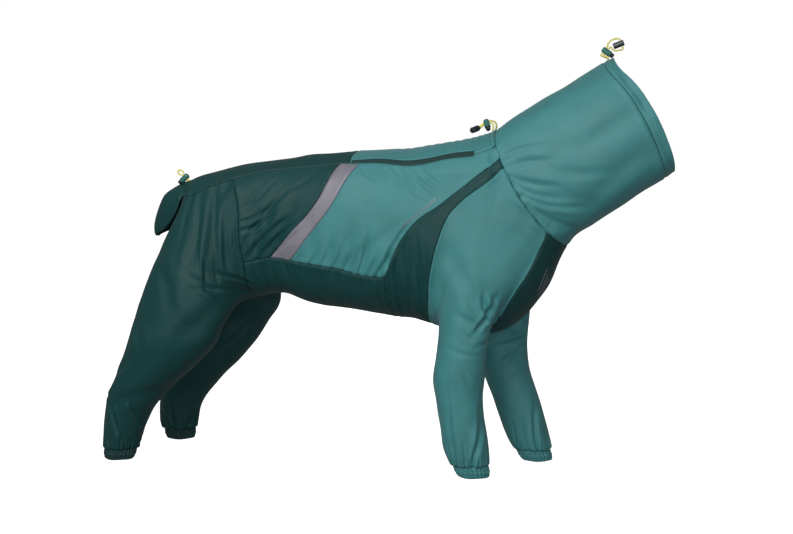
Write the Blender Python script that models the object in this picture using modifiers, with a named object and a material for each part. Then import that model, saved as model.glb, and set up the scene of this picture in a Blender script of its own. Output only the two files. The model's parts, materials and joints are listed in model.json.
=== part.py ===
"""Dog rain suit, worn and filled out with no wearer: body panels, hood, raglan front legs, hind legs,
elastic cuffs, tail flap and three drawcords with cord locks.

Tables and lengths are in millimetres and angles in degrees; every mesh is written in metres.
X runs from tail to head, Z is up, and the wearer's right side faces -Y. The origin is on the inside
of the back, where the wearer carries the suit.

A place on the body is (station, round): the station runs along the middle line from the tail opening
to the hood's mouth, and round is the turn from the back's ridge, positive over the wearer's right
side. Every panel is a grid of such places between its seams, given a cloth wall.
"""

import bmesh
import bpy
import numpy as np
from mathutils import Matrix, Vector

MM = 0.001
WALL = 2.0  # cloth thickness with its coating and binding
GAP = 0.3  # between two pieces that meet at a seam
RIGHT, LEFT = 1, -1

# Rings of the body and hood: highest and lowest point seen from the side, sideways shift and half
# width, turn of the ring to the wearer's left, and how far its sides reach forward of the middle.
SECTIONS = [
    # name, top_x, top_z, low_x, low_z, middle_y, half_width, turn, side_reach
    ("tail opening", -337, -48, -372, -142, 0, 45, 0, 5),
    ("rump", -322, -42, -385, -190, 0, 66, 0, 0),
    ("hip", -298, -35, -352, -232, 0, 80, 0, 0),
    ("thigh", -268, -28, -296, -244, 0, 87, 0, 0),
    ("flank", -232, -21, -232, -240, 0, 87, 0, 0),
    ("waist", -190, -15, -183, -233, 0, 84, 0, 0),
    ("loin", -145, -9, -136, -247, 0, 86, 0, 0),
    ("rear ribs", -88, -4, -82, -255, 0, 93, 0, 0),
    ("ribs", -28, 0, -24, -261, 0, 98, 0, 0),
    ("front ribs", 32, 5, 38, -270, 0, 101, 0, 0),
    ("shoulder", 84, 12, 104, -285, 0, 101, 0, 0),
    ("breast", 124, 20, 176, -282, 0, 97, 0, -2),
    ("lower neck", 150, 27, 238, -222, 0, 89, 0, -8),
    ("neck seam", 163, 31, 274, -147, 0, 79, 0, -12),
    ("hood base", 200, 59, 314, -114, 6, 83, 3, -6),
    ("hood middle", 262, 96, 366, -79, 18, 86, 6, 3),
    ("hood front", 316, 131, 411, -48, 29, 84, 9, 9),
    ("hood mouth", 341, 143, 434, -32, 35, 80, 10, 10),
]
SQUARENESS = 0.12  # how far a ring's corners stand out from an ellipse
TOP_HEAVY = 0.06  # how much wider a ring is above its middle than below
REACH_AIM = np.array([0.86, 0.0, 0.51])  # direction in which the sides of a ring reach
ROUND_MM = 1.6  # cloth length of one degree round the body, for spacing points on a seam

SECTION_ROWS = np.array([row[1:] for row in SECTIONS], float)
MIDDLES = np.stack(
    [SECTION_ROWS[:, [0, 2]].mean(1), SECTION_ROWS[:, 4], SECTION_ROWS[:, [1, 3]].mean(1)], axis=1
)
STATIONS = np.concatenate([[0.0], np.cumsum(np.linalg.norm(np.diff(MIDDLES, axis=0), axis=1))])
NECK = STATIONS[[row[0] for row in SECTIONS].index("neck seam")]
MOUTH = STATIONS[-1]

# Seams on the wearer's right side as (station, round); the left side has their mirror image.
HEM = 17.0  # width of the hood's hem
BACK_SPLIT = 320.0  # where the rear back panel ends
ZIP_SEAM = [
    (0, 60), (28, 56), (55, 47), (119, 38), (160, 35.5), (220, 34), (276, 33.5), (326, 32),
    (370, 34), (424, 38.5), (480, 35.5), (549, 38), (NECK, 43),
]
LEFT_THIGH_PULL = 20.0  # the left thigh is carried further forward, and its seam with it
THIGH_SEAM = [(120, 38), (142, 72), (145, 93), (149, 114), (149, 128), (147, 150), (152, 180)]
STRIPE_REAR = [(308, 32.6), (273.6, 69.6), (228, 92), (192, 112.4)]
STRIPE_FRONT = [(340, 32.3), (299, 71.6), (255.6, 94), (224.4, 111.7)]
BELLY_SEAM = [(149, 114), (192, 112.4), (224.4, 111.7), (278, 112.4), (313, 114.7), (356, 117.4), (384, 116)]
BAND_REAR = [
    (NECK, 57), (585, 56), (555, 57), (519, 61), (492, 68), (465, 73), (439, 79.6), (420, 88),
    (402, 97.4), (391, 107), (384, 116), (381, 136), (384, 157), (386, 180),
]
BAND_FRONT = [
    (NECK, 68), (600, 65.5), (566, 65), (533, 66.6), (503, 72), (485, 79.4), (472, 89), (462, 99),
    (452, 113.4), (445, 131.4), (440, 150), (438, 163), (437, 180),
]
CHEST_EDGE = [(NECK, 131), (604, 133), (580, 132), (562, 135), (539, 145), (526, 153), (490, 160), (438, 163)]
CORNERS = {
    # where one seam meets the next, as the number of the row in the seam's table
    "zip at thigh": 3, "belly at stripe rear": 1, "belly at stripe front": 2,
    "thigh at belly": 3, "band rear at belly": 10, "band front at chest": 11,
}

# Steps along each stretch of seam; panels that share a stretch share its points.
STEPS = {
    "zip over thigh": 6, "zip over flank": 6, "stripe width": 2, "zip over ribs": 12,
    "side height": 8, "under side": 6, "centre rear": 6, "tail opening": 6, "across back": 6,
    "band width": 3, "band front": 10, "band under": 3, "chest edge": 10, "neck over leg": 5,
    "hood length": 8,
}

# Legs: horizontal rings from the top of the tube to the cuff, and the part of each seam of the leg's
# opening in the body that each side of the tube hangs from. A turn of 0 is the front of the leg and
# 90 its outer side.
FRONT_RINGS = {
    # z, middle_x, middle_y, half_length, half_width
    RIGHT: [
        (-322, 118, 76, 43, 42), (-350, 118.3, 76, 39.6, 39), (-380, 119.3, 76, 36.8, 37),
        (-410, 122.3, 76, 35.2, 35), (-440, 127.5, 76, 35.2, 35), (-465, 132, 76, 34.5, 34),
        (-479, 135.5, 76, 31.5, 31), (-486, 137.5, 76, 27.5, 27),
    ],
    LEFT: [
        (-322, 158, 76, 42, 42), (-350, 163, 76, 39.6, 39), (-380, 172.5, 76, 37.9, 37),
        (-410, 183.7, 76, 37.0, 36), (-440, 194, 76, 36.4, 35), (-465, 201.5, 76, 35.2, 34),
        (-479, 207, 76, 31.8, 31), (-486, 210, 76, 27.5, 27),
    ],
}
HIND_RINGS = {
    RIGHT: [
        (-275, -336, 84, 80, 56), (-304, -350, 84, 74, 54), (-330, -365, 83, 68.5, 51),
        (-360, -387, 82, 59.5, 47),
        (-388, -409.5, 80, 49, 42), (-415, -425.7, 79, 41, 37), (-440, -434.8, 78, 36, 34),
        (-465, -441, 78, 32, 31), (-479, -443.8, 78, 29.5, 29), (-486, -445, 78, 26.5, 26.5),
    ],
    LEFT: [
        (-275, -307, 84, 84, 56), (-304, -328, 84, 74, 54), (-330, -341, 83, 68.5, 51),
        (-360, -358, 82, 60, 47),
        (-388, -378, 80, 51, 42), (-415, -393, 79, 42, 37), (-440, -402, 78, 36, 34),
        (-463, -404.5, 78, 32.5, 31), (-473, -404, 78, 30, 29), (-479, -403.5, 78, 26.5, 26.5),
    ],
}
FULL_TURN = 360
FRONT_TURNS = {"strap corner": 95, "chest corner": 40, "under corner": -130}
HIND_TURNS = {
    "tail corner": 150, "thigh corner": 82, "belly corner": 40, "front centre": -28, "tail low": -152,
}
LOFT_ROWS = 6  # rows of cloth between the opening in the body and the first ring
# how far the cloth runs on along the body before it turns down the leg
LOFT_LEAD = {
    ("front_leg", RIGHT): 1.05, ("front_leg", LEFT): 1.05, ("hind_leg", RIGHT): 1.1, ("hind_leg", LEFT): 1.1,
}
INWARD_PASSES = 3  # how often the directions into the opening are evened out round it
LOFT_PASSES = 12  # how often the bridge's points are evened out with their neighbours
NORMAL_PASSES = 2  # how often the directions of the wall are evened out down a leg
LOFT_PUFF = {
    # the turn at which the bridge stands out most, and how far
    ("front_leg", RIGHT): (0, 0), ("front_leg", LEFT): (25, 8), ("hind_leg", RIGHT): (180, 5),
    ("hind_leg", LEFT): (0, 8),
}
LOFT_SQUARE = 1.1  # how much of that run is square to the seam, against straight for the leg
LOFT_DROP = 0.75  # how far up the tube's own direction is kept

CUFF_DEEP = 17.0
CUFF_RIBS = 14
CUFF_RIB_DEEP = 1.3
CUFF_STEPS_PER_RIB = 3
CUFF_LEVELS = ((0.0, 0.0), (0.5, 1.0), (1.0, 4.5))  # share of the cuff's depth, and how far it is drawn in

# Zip tape and neck casing lie on the panels.
ZIP_ROWS = 8.6  # length of the zip tape, in rows of the panels beside it
ZIP_HALF = 3.4  # degrees each side of the zip seam
TAPE_THICK = 1.2
CASING_ROWS = np.array([1.0, 0.5, 0.04])  # its rows of points, as shares of its width from the neck seam
CASING_TOP, CASING_SIDE = 1.0, 0.4  # width of the neck casing at the ridge and at its ends, in rows

# Tail flap: an awning from the back's end, its ridge and its side edge seen from the side.
FLAP_ROWS = [
    # ridge_x, ridge_z, edge_x, edge_z, half_width
    (-357, -54, -352, -83, 44.5), (-371, -61.5, -357, -98, 42), (-391, -73, -369, -115, 37),
    (-402, -91, -381, -127, 30), (-409, -112, -394, -135, 21), (-412, -130, -404, -140, 12),
    (-409, -143, -408, -144, 6),
]
FLAP_STEPS = 10

# Cord locks: a barrel closed at one end, with a slot for two cords and a bore for its plunger.
LOCKS = [
    # name, tip of the plunger, axis from the closed end to the tip, direction of the cords
    ("hood", (338.5, 32, 145), (0.81, 0, -0.59), (0.59, 0, 0.81)),
    ("neck", (151, -13, 31.8), (0.32, -0.62, -0.72), (-1, 0, -0.35)),
    ("tail", (-361, -20, -55.5), (-0.75, 0, -0.66), (-0.66, 0, 0.75)),
]
LOCK_RADIUS, LOCK_LENGTH = 4.8, 15.5
BORE_RADIUS, BORE_DEEP = 3.8, 5.0
SLOT_START, SLOT_LONG, SLOT_WIDE = 3.0, 6.8, 3.6
PLUNGER_RADIUS, PLUNGER_OUT, PLUNGER_IN, PLUNGER_EDGE = 3.72, 5.5, 2.2, 0.8
LOCK_EDGE_WIDE, LOCK_EDGE_HIGH = 0.3, 0.4
LOCK_NOSE = ((1.0, 3.0), (0.87, 1.1), (0.55, 0.2))  # its rounded closed end: share of the radius, height
TURNED_STEPS = 16
SHARP_ANGLE = np.radians(50)

CORD = 2.8
CORD_ENDS = [
    # name, middle of the face at its start, axis
    ("hood", (338.6, 32, 160.5), (0.936, 0, 0.352)),
    ("neck", (133, -6.5, 34.5), (-0.372, -0.904, -0.213)),
]
CORD_END_RADIUS, CORD_END_LONG, CORD_END_HOLE, CORD_END_EDGE = 4.7, 17.0, 13.0, 0.7
CORD_CLEAR = 0.9  # round the cord in its hole
CORD_STEP = 2.4  # largest distance between a cord's points, in diameters
# Routes of the cords: places that a smooth curve runs through
CORD_ROUTES = {
    "cord_hood": [
        (332.5, 27.6, 138.95), (330.4, 27.2, 143.8), (326.0, 27.4, 145.2), (321.4, 28.4, 145.9),
        (319.6, 30.8, 147.8), (322.0, 32, 150.1), (323.7, 32, 152.4), (326.9, 32, 156.8),
        (328.6, 32, 159.1), (330.2, 32, 164.8), (334.2, 32, 169.4), (339.8, 32, 171.9),
        (345.4, 32, 172.6), (348.9, 32, 170.1), (350.8, 32, 165.1), (352.7, 32, 160.0),
        (352.6, 32, 156.3), (348.2, 32, 154.9), (343.1, 32, 154.1), (337.6, 32, 155.7),
        (334.7, 32, 159.5), (331.2, 32, 157.2), (329.5, 32, 154.9), (326.3, 32, 150.5),
        (324.6, 32, 148.2), (324.0, 34.6, 144.9), (326.6, 37.4, 144.2), (329.2, 37.7, 142.4),
        (330.75, 37.7, 138.95),
    ],
    "cord_neck_upper": [
        (158.6, 5.2, 31.2), (160.6, 4.4, 36.4), (160.0, 2.2, 41.6), (156.2, -0.6, 45.4),
        (151.0, -2.7, 45.6), (148.4, -2.8, 44.55), (143.2, -3.0, 42.45), (140.6, -3.1, 41.4),
        (136.6, -2.6, 38.6), (134.3, -3.4, 36.9), (133.1, -6.2, 36.25),
    ],
    "cord_neck_lower": [
        (156.2, -8.4, 30.4), (157.8, -7.8, 36.6), (156.0, -6.4, 41.0), (152.0, -4.7, 43.3),
        (149.4, -4.8, 42.25), (144.2, -5.0, 40.15), (141.6, -5.1, 39.1), (137.6, -4.6, 36.2),
        (134.8, -3.2, 33.6), (133.6, -5.1, 33.2),
    ],
    "cord_tail": [
        (-342.8, -20, -51.5), (-345.1, -20, -48.9), (-347.0, -20, -46.8), (-350.6, -20, -42.6),
        (-352.5, -20, -40.5), (-354.4, -20, -36.2), (-358.6, -20, -33.8), (-362.6, -20, -35.6),
        (-362.0, -20, -39.8), (-358.4, -20, -41.6), (-354.9, -20, -42.6), (-353.0, -20, -44.7),
        (-349.4, -20, -48.9), (-347.5, -20, -51.0), (-346.2, -20, -52.5),
    ],
}

# Largest folds, as troughs seen from the side on the wearer's right.
FOLDS = [
    # name, start_x, start_z, end_x, end_z, width, depth
    ("ribs trough 1", -115, -130, -118, -165, 9, 2.2), ("ribs trough 2", -83, -133, -84, -173, 8, 2.4),
    ("ribs trough 3", -52, -135, -55, -179, 8, 2.6), ("ribs trough 4", -21, -135, -26, -181, 9, 2.4),
    ("ribs pull", -64, -182, 23, -121, 11, 2.0), ("zip pull 1", -22, -30, 23, -61, 8, 1.2),
    ("zip pull 2", 10, -30, 61, -65, 8, 1.2), ("flank pull 1", -179, -81, -195, -128, 9, 2.6),
    ("flank pull 2", -151, -95, -178, -150, 9, 2.6), ("flank pull 3", -206, -119, -205, -176, 9, 2.4),
    ("thigh trough 1", -304, -139, -303, -190, 10, 3.0), ("thigh trough 2", -273, -107, -273, -199, 11, 3.2),
    ("thigh trough 3", -248, -100, -252, -166, 9, 2.4), ("thigh pull", -279, -190, -221, -239, 11, 2.6),
    ("knee pull", -252, -234, -323, -300, 14, 2.6), ("band trough 1", 34, -152, 36, -239, 9, 2.4),
    ("band trough 2", 57, -170, 66, -248, 9, 2.4), ("belly gather 1", -156, -186, -150, -224, 8, 2.0),
    ("belly gather 2", -77, -198, -74, -245, 8, 1.8), ("belly gather 3", 26, -228, 31, -262, 8, 2.2),
    ("sleeve pull 1", 162, -53, 224, -89, 9, 1.8), ("sleeve pull 2", 179, -82, 248, -110, 9, 1.8),
    ("sleeve pull 3", 114, -168, 167, -252, 12, 2.6), ("elbow crease", 140, -260, 178, -283, 9, 3.2),
    ("hood pull 1", 180, -9, 275, -21, 9, 1.6), ("hood pull 2", 197, -50, 319, -79, 11, 2.2),
    ("hood pull 3", 220, -74, 282, -110, 9, 2.4), ("hood pull 4", 242, -99, 294, -124, 8, 2.0),
    ("hock crease", -439, -404, -384, -388, 10, 2.4), ("ankle trough", -430, -438, -422, -476, 8, 2.0),
    ("wrist trough", 138, -430, 144, -476, 8, 2.2),
]
FAR_FOLD_SHIFT = -12.0  # the left side creases a little further back
FAR_FOLD_SHARE = 0.85
FOLD_FACING = 1.6  # how soon a fold fades where the cloth turns away from the side
LEVEL = np.array([1, 1, 0])
PROBE = 0.5  # step of the differences that give the body's outward direction
RIM_DIP, RIM_DIP_TURN, RIM_DIP_WIDTH = 8.0, 38.0, 30.0  # the hood's hem is drawn in on both sides of its top


def smooth_rows(knots, rows, at):
    """Values between the rows of a table: a cubic through each pair of rows whose slopes are the
    weighted means of the straight slopes on both sides."""
    knots = np.asarray(knots, float)
    rows = np.asarray(rows, float)
    at = np.asarray(at, float)
    step = np.diff(knots)
    rise = np.diff(rows, axis=0) / step[:, None]
    inner = (rise[:-1] * step[1:, None] + rise[1:] * step[:-1, None]) / (step[:-1] + step[1:])[:, None]
    slope = np.vstack([rise[:1], inner, rise[-1:]])
    k = np.clip(np.searchsorted(knots, at, side="right") - 1, 0, len(step) - 1)
    t = ((at - knots[k]) / step[k])[..., None]
    span = step[k][..., None]
    return (
        (1 + 2 * t) * (1 - t) ** 2 * rows[k]
        + t * (1 - t) ** 2 * span * slope[k]
        + t * t * (3 - 2 * t) * rows[k + 1]
        + t * t * (t - 1) * span * slope[k + 1]
    )


def unit(vectors):
    return vectors / np.maximum(np.linalg.norm(vectors, axis=-1, keepdims=True), 1e-9)


def body(station, round_):
    """A point of the body's outer surface: a rounded-square ring, its height axis between the
    section's highest and lowest point and its width axis level, turned by the section's turn."""
    station, round_ = np.broadcast_arrays(np.asarray(station, float), np.asarray(round_, float))
    row = smooth_rows(STATIONS, SECTION_ROWS, station)
    top_x, top_z, low_x, low_z, middle_y, half_width, turn, reach = np.moveaxis(row, -1, 0)
    cos, sin = np.cos(np.radians(round_)), np.sin(np.radians(round_))
    up = cos * (1 + SQUARENESS * sin**2)
    out = sin * (1 + SQUARENESS * cos**2) * (1 + TOP_HEAVY * cos) * half_width
    forward = reach * sin**2
    turn = np.radians(turn)
    return np.stack(
        [
            (top_x + low_x) / 2 + (top_x - low_x) / 2 * up + out * np.sin(turn) + forward * REACH_AIM[0],
            middle_y - out * np.cos(turn),
            (top_z + low_z) / 2 + (top_z - low_z) / 2 * up + forward * REACH_AIM[2],
        ],
        axis=-1,
    )


def body_out(station, round_):
    """The outward direction of the body's surface, from differences along and round it."""
    station, round_ = np.broadcast_arrays(np.asarray(station, float), np.asarray(round_, float))
    last = STATIONS[-1]
    along = body(np.clip(station + PROBE, 0, last), round_) - body(np.clip(station - PROBE, 0, last), round_)
    around = body(station, round_ + PROBE) - body(station, round_ - PROBE)
    return unit(np.cross(around, along))


def folded(points, out):
    """Points pushed in along their outward directions by every fold near them: a fold is a smooth
    trough about a line in the side view, deepest at its middle and fading to its ends."""
    moved = np.array(points, float)
    for name, start_x, start_z, end_x, end_z, width, depth in FOLDS:
        for side, shift, share in ((RIGHT, 0.0, 1.0), (LEFT, FAR_FOLD_SHIFT, FAR_FOLD_SHARE)):
            start = np.array([start_x + shift, start_z])
            line = np.array([end_x - start_x, end_z - start_z], float)
            offset = points[..., [0, 2]] - start
            along = np.clip(offset @ line / (line @ line), 0, 1)
            across = np.linalg.norm(offset - along[..., None] * line, axis=-1)
            facing = np.clip(-side * out[..., 1] * FOLD_FACING, 0, 1)
            fade = np.exp(-((across / width) ** 2)) * np.sin(np.pi * (0.1 + 0.8 * along))
            moved -= (depth * share * facing * fade)[..., None] * out
    return moved


def seam(rows, steps, first=0, last=None):
    """Evenly spaced (station, round) places along the smooth curve through rows first to last."""
    rows = np.asarray(rows, float)
    gaps = np.linalg.norm(np.diff(rows, axis=0) * (1, ROUND_MM), axis=1)
    knots = np.concatenate([[0.0], np.cumsum(gaps)])
    last = len(rows) - 1 if last is None else last
    return smooth_rows(knots, rows, np.linspace(knots[first], knots[last], steps + 1))


def straight(start, end, steps):
    return np.linspace(start, end, steps + 1)


def joined(*runs):
    """Runs of places one after another, each starting where the one before it ends."""
    return np.concatenate([runs[0]] + [run[1:] for run in runs[1:]])


def under(run):
    """Left-side places written past 180 degrees, so that a panel runs on under the body."""
    return np.stack([run[:, 0], 360 - run[:, 1]], axis=1)


def patch(left, right, top, bottom):
    """A grid of places between four seams: the sum of the two ruled surfaces less the one through
    the four corners. Left and right run from top to bottom, top and bottom from left to right."""
    down = np.linspace(0, 1, len(left))[:, None, None]
    over = np.linspace(0, 1, len(top))[None, :, None]
    sides = (1 - over) * left[:, None] + over * right[:, None]
    ends = (1 - down) * top[None] + down * bottom[None]
    corners = (
        (1 - down) * ((1 - over) * top[0] + over * top[-1])
        + down * ((1 - over) * bottom[0] + over * bottom[-1])
    )
    return sides + ends - corners


def grid_out(points, closed):
    """The outward directions of a grid of points from differences along its rows and columns."""
    along = np.gradient(points, axis=0)
    if closed:
        around = np.roll(points, -1, axis=1) - np.roll(points, 1, axis=1)
    else:
        around = np.gradient(points, axis=1)
    return unit(np.cross(around, along))


def trimmed(points, edges):
    """A grid whose named edges are moved in by half the seam gap, square to each edge."""
    points = np.array(points, float)
    for edge in edges:
        grid = points if edge in ("start", "end") else points.swapaxes(0, 1)
        grid = grid if edge in ("start", "left") else grid[::-1]
        tangent = unit(np.gradient(grid[0], axis=0))
        inward = grid[1] - grid[0]
        inward = inward - (inward * tangent).sum(axis=-1, keepdims=True) * tangent
        grid[0] += unit(inward) * GAP / 2
    return points


def wall_mesh(outer, inner, closed):
    """Vertices and faces of the closed wall between two grids of points of the same shape."""
    rows, columns = outer.shape[:2]
    index = np.arange(2 * rows * columns).reshape(2, rows, columns)
    if closed:
        index = np.concatenate([index, index[:, :, :1]], axis=2)
    out, back = index

    def quads(a):
        return np.stack([a[:-1, :-1], a[1:, :-1], a[1:, 1:], a[:-1, 1:]], axis=-1).reshape(-1, 4)

    def strip(a, b):
        return np.stack([a[:-1], b[:-1], b[1:], a[1:]], axis=-1)

    faces = [quads(out), quads(back)[:, ::-1], strip(back[0], out[0]), strip(out[-1], back[-1])]
    if not closed:
        faces += [strip(out[:, 0], back[:, 0]), strip(back[:, -1], out[:, -1])]
    return np.concatenate([outer.reshape(-1, 3), inner.reshape(-1, 3)]), np.concatenate(faces)


def add_mesh(name, vertices, faces, material):
    """An object in the suit's collection from points in millimetres, with its faces turned out."""
    corners = vertices[faces]
    fans = np.concatenate([corners[:, [0, 1, 2]], corners[:, [0, 2, 3]]])
    volume = (np.cross(fans[:, 0], fans[:, 1]) * fans[:, 2]).sum() / 6
    if volume < 0:
        faces = faces[:, ::-1]
    mesh = bpy.data.meshes.new(name)
    mesh.from_pydata((vertices * MM).tolist(), [], faces.tolist())
    mesh.shade_smooth()
    mesh.set_sharp_from_angle(angle=SHARP_ANGLE)
    return add_object(name, mesh, material)


def add_object(name, data, material):
    item = bpy.data.objects.new(name, data)
    item.data.materials.append(MATERIALS[material])
    bpy.data.collections["dog_rain_suit"].objects.link(item)
    return item


def cloth(name, outer, out, material, closed=False, edges=("start", "end", "left", "right"), thick=WALL):
    """A piece of cloth: its outer grid trimmed at the seams and folded, and its wall inside it."""
    face = trimmed(folded(outer, out), edges)
    back = face - thick * out
    return add_mesh(name, *wall_mesh(face, back, closed), material)


def panel(name, places, material, edges=("start", "end", "left", "right")):
    station, round_ = places[..., 0], places[..., 1]
    return cloth(name, body(station, round_), body_out(station, round_), material, edges=edges)


def on_panel(places, row, column):
    """Points on a panel's facets at fractional rows and columns of its grid, with their outward
    directions."""
    station, round_ = places[..., 0], places[..., 1]
    out = body_out(station, round_)
    face = folded(body(station, round_), out)
    row, column = np.broadcast_arrays(row, column)
    first_row = np.minimum(row.astype(int), places.shape[0] - 2)
    first_column = np.minimum(column.astype(int), places.shape[1] - 2)
    down = (row - first_row)[..., None]
    over = (column - first_column)[..., None]

    def mixed(grid):
        above = (1 - over) * grid[first_row, first_column] + over * grid[first_row, first_column + 1]
        below = (1 - over) * grid[first_row + 1, first_column] + over * grid[first_row + 1, first_column + 1]
        return (1 - down) * above + down * below

    return mixed(face), unit(mixed(out))


def overlay(name, points, out, material):
    """A piece that lies on the panels: their points moved out by the gap, and a wall outside them."""
    back = points + GAP * out
    add_mesh(name, *wall_mesh(back + TAPE_THICK * out, back, False), material)


def thigh_seam(side):
    """The thigh's seam; on the left it bows forward between its ends by the left thigh's pull."""
    rows = np.array(THIGH_SEAM, float)
    if side == LEFT:
        share = (rows[:, 1] - rows[0, 1]) / (rows[-1, 1] - rows[0, 1])
        rows[:, 0] += LEFT_THIGH_PULL * np.sin(np.pi * share)
    return rows


def seams(side):
    """Every stretch of seam on one side of the wearer, as runs of shared places, written as if on the
    right."""
    zip_thigh = CORNERS["zip at thigh"]
    belly_rear, belly_front = CORNERS["belly at stripe rear"], CORNERS["belly at stripe front"]
    thigh_belly, band_belly = CORNERS["thigh at belly"], CORNERS["band rear at belly"]
    band_chest = CORNERS["band front at chest"]
    places = {
        "zip over thigh": zip_run(0, THIGH_SEAM[0][0], STEPS["zip over thigh"]),
        "zip over flank": zip_run(THIGH_SEAM[0][0], STRIPE_REAR[0][0], STEPS["zip over flank"]),
        "zip over stripe": zip_run(STRIPE_REAR[0][0], STRIPE_FRONT[0][0], STEPS["stripe width"]),
        "zip over ribs": zip_run(STRIPE_FRONT[0][0], NECK, STEPS["zip over ribs"]),
        "thigh": seam(thigh_seam(side), STEPS["side height"], 0, thigh_belly),
        "thigh under": seam(thigh_seam(side), STEPS["under side"], thigh_belly),
        "stripe rear": seam(STRIPE_REAR, STEPS["side height"]),
        "stripe front": seam(STRIPE_FRONT, STEPS["side height"]),
        "belly rear": seam(BELLY_SEAM, STEPS["zip over flank"], 0, belly_rear),
        "belly stripe": seam(BELLY_SEAM, STEPS["stripe width"], belly_rear, belly_front),
        "belly front": seam(BELLY_SEAM, STEPS["zip over ribs"], belly_front),
        "band rear": seam(BAND_REAR, STEPS["side height"] - 1, 0, band_belly),
        "band rear under": seam(BAND_REAR, STEPS["under side"], band_belly),
        "band front": seam(BAND_FRONT, STEPS["band front"], 0, band_chest),
        "band front under": seam(BAND_FRONT, STEPS["band under"], band_chest),
        "chest edge": seam(CHEST_EDGE, STEPS["chest edge"]),
    }
    places["zip"] = joined(places["zip over thigh"], places["zip over flank"], places["zip over stripe"])
    # the first places of the side seams lie on the zip seam
    places["thigh"][0] = places["zip over thigh"][-1]
    places["stripe rear"][0] = places["zip over flank"][-1]
    places["stripe front"][0] = places["zip over stripe"][-1]
    places["belly rear"][:, 0] += (places["thigh"][-1] - places["belly rear"][0])[0] * np.linspace(
        1, 0, len(places["belly rear"])
    )
    places["band rear"][-1] = places["belly front"][-1]
    places["band rear under"][0] = places["belly front"][-1]
    places["chest edge"][-1] = places["band front"][-1]
    places["band front under"][0] = places["band front"][-1]
    return places


def zip_run(start, end, steps):
    """Places on the zip seam at even stations."""
    rows = np.asarray(ZIP_SEAM, float)
    station = np.linspace(start, end, steps + 1)
    return np.stack([station, smooth_rows(rows[:, 0], rows[:, 1:], station)[:, 0]], axis=1)


def make_side_panels(run, side, word):
    """The three panels of one side, between the zip seam and the belly. Gives the light one's places."""
    zip_end = run["zip over ribs"][-1]
    band_side = joined(straight(zip_end, run["band rear"][0], 1), run["band rear"])
    dark = patch(run["thigh"], run["stripe rear"], run["zip over flank"], run["belly rear"])
    stripe = patch(run["stripe rear"], run["stripe front"], run["zip over stripe"], run["belly stripe"])
    light = patch(run["stripe front"], band_side, run["zip over ribs"], run["belly front"])
    panel(f"side_dark_{word}", dark * (1, side), "dark")
    panel(f"stripe_{word}", stripe * (1, side), "reflective")
    panel(f"side_light_{word}", light * (1, side), "light")
    return light * (1, side)


def make_back():
    """The back's two panels, from seam to seam over the ridge. Gives the front one's places."""
    thigh, stripe = THIGH_SEAM[0][0], STRIPE_REAR[0][0]
    rear = joined(
        zip_run(0, thigh, STEPS["zip over thigh"]), zip_run(thigh, stripe, STEPS["zip over flank"]),
        zip_run(stripe, BACK_SPLIT, 1),
    )
    front = joined(
        zip_run(BACK_SPLIT, STRIPE_FRONT[0][0], 1), zip_run(STRIPE_FRONT[0][0], NECK, STEPS["zip over ribs"])
    )
    over = np.linspace(-1, 1, STEPS["across back"] + 1)
    for name, edge, material in (("back_rear", rear, "dark"), ("back_front", front, "light")):
        station = np.repeat(edge[:, :1], len(over), axis=1)
        places = np.stack([station, edge[:, 1:] * over], axis=-1)
        panel(name, places, material)
    return places


def make_overlays(back, side_light):
    """The zip tape over the seam between the back and the right side, and the drawcord's casing over
    the back of the neck."""
    last_row, last_column = back.shape[0] - 1, back.shape[1] - 1
    across = np.arange(back.shape[1])
    width = CASING_SIDE + (CASING_TOP - CASING_SIDE) * np.cos(np.radians(90) * (2 * across / last_column - 1))
    rows = last_row - width * CASING_ROWS[:, None]
    overlay("neck_casing", *on_panel(back, rows, across[None].astype(float)), "light")

    row = np.append(np.arange(int(ZIP_ROWS) + 1.0), ZIP_ROWS)
    near = row.astype(int)
    inner = last_column - ZIP_HALF / np.abs(back[near + 1, -1, 1] - back[near + 1, -2, 1])
    outer = ZIP_HALF / np.abs(side_light[1, near, 1] - side_light[0, near, 1])
    edges = (
        on_panel(back, row + 1, inner), on_panel(back, row + 1, np.full_like(row, last_column)),
        on_panel(side_light, outer, row),
    )
    points, out = (np.stack(parts, axis=1) for parts in zip(*edges))
    overlay("zip_tape", points, out, "trim")


def make_under_panels(right, left):
    """The belly, the band behind the front legs and the chest, each from one side to the other under
    the body."""

    def round_under(*names):
        ahead = joined(*[right[name] for name in names])
        back = joined(*[left[name] for name in names])
        return joined(ahead, under(back)[::-1])

    belly_right = joined(right["belly rear"], right["belly stripe"], right["belly front"])
    belly_left = joined(left["belly rear"], left["belly stripe"], left["belly front"])
    panel(
        "belly",
        patch(round_under("thigh under"), round_under("band rear under"), belly_right, under(belly_left)),
        "dark",
    )
    rear_edge = round_under("band rear", "band rear under")
    front_edge = round_under("band front", "band front under")
    width = STEPS["band width"]
    panel(
        "chest_band",
        patch(
            rear_edge, front_edge, straight(rear_edge[0], front_edge[0], width),
            straight(rear_edge[-1], front_edge[-1], width),
        ),
        "dark",
    )
    low = round_under("band front under")
    edge = right["chest edge"]
    panel("chest", patch(edge, under(edge), straight(edge[0], under(edge)[0], len(low) - 1), low), "dark")


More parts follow.
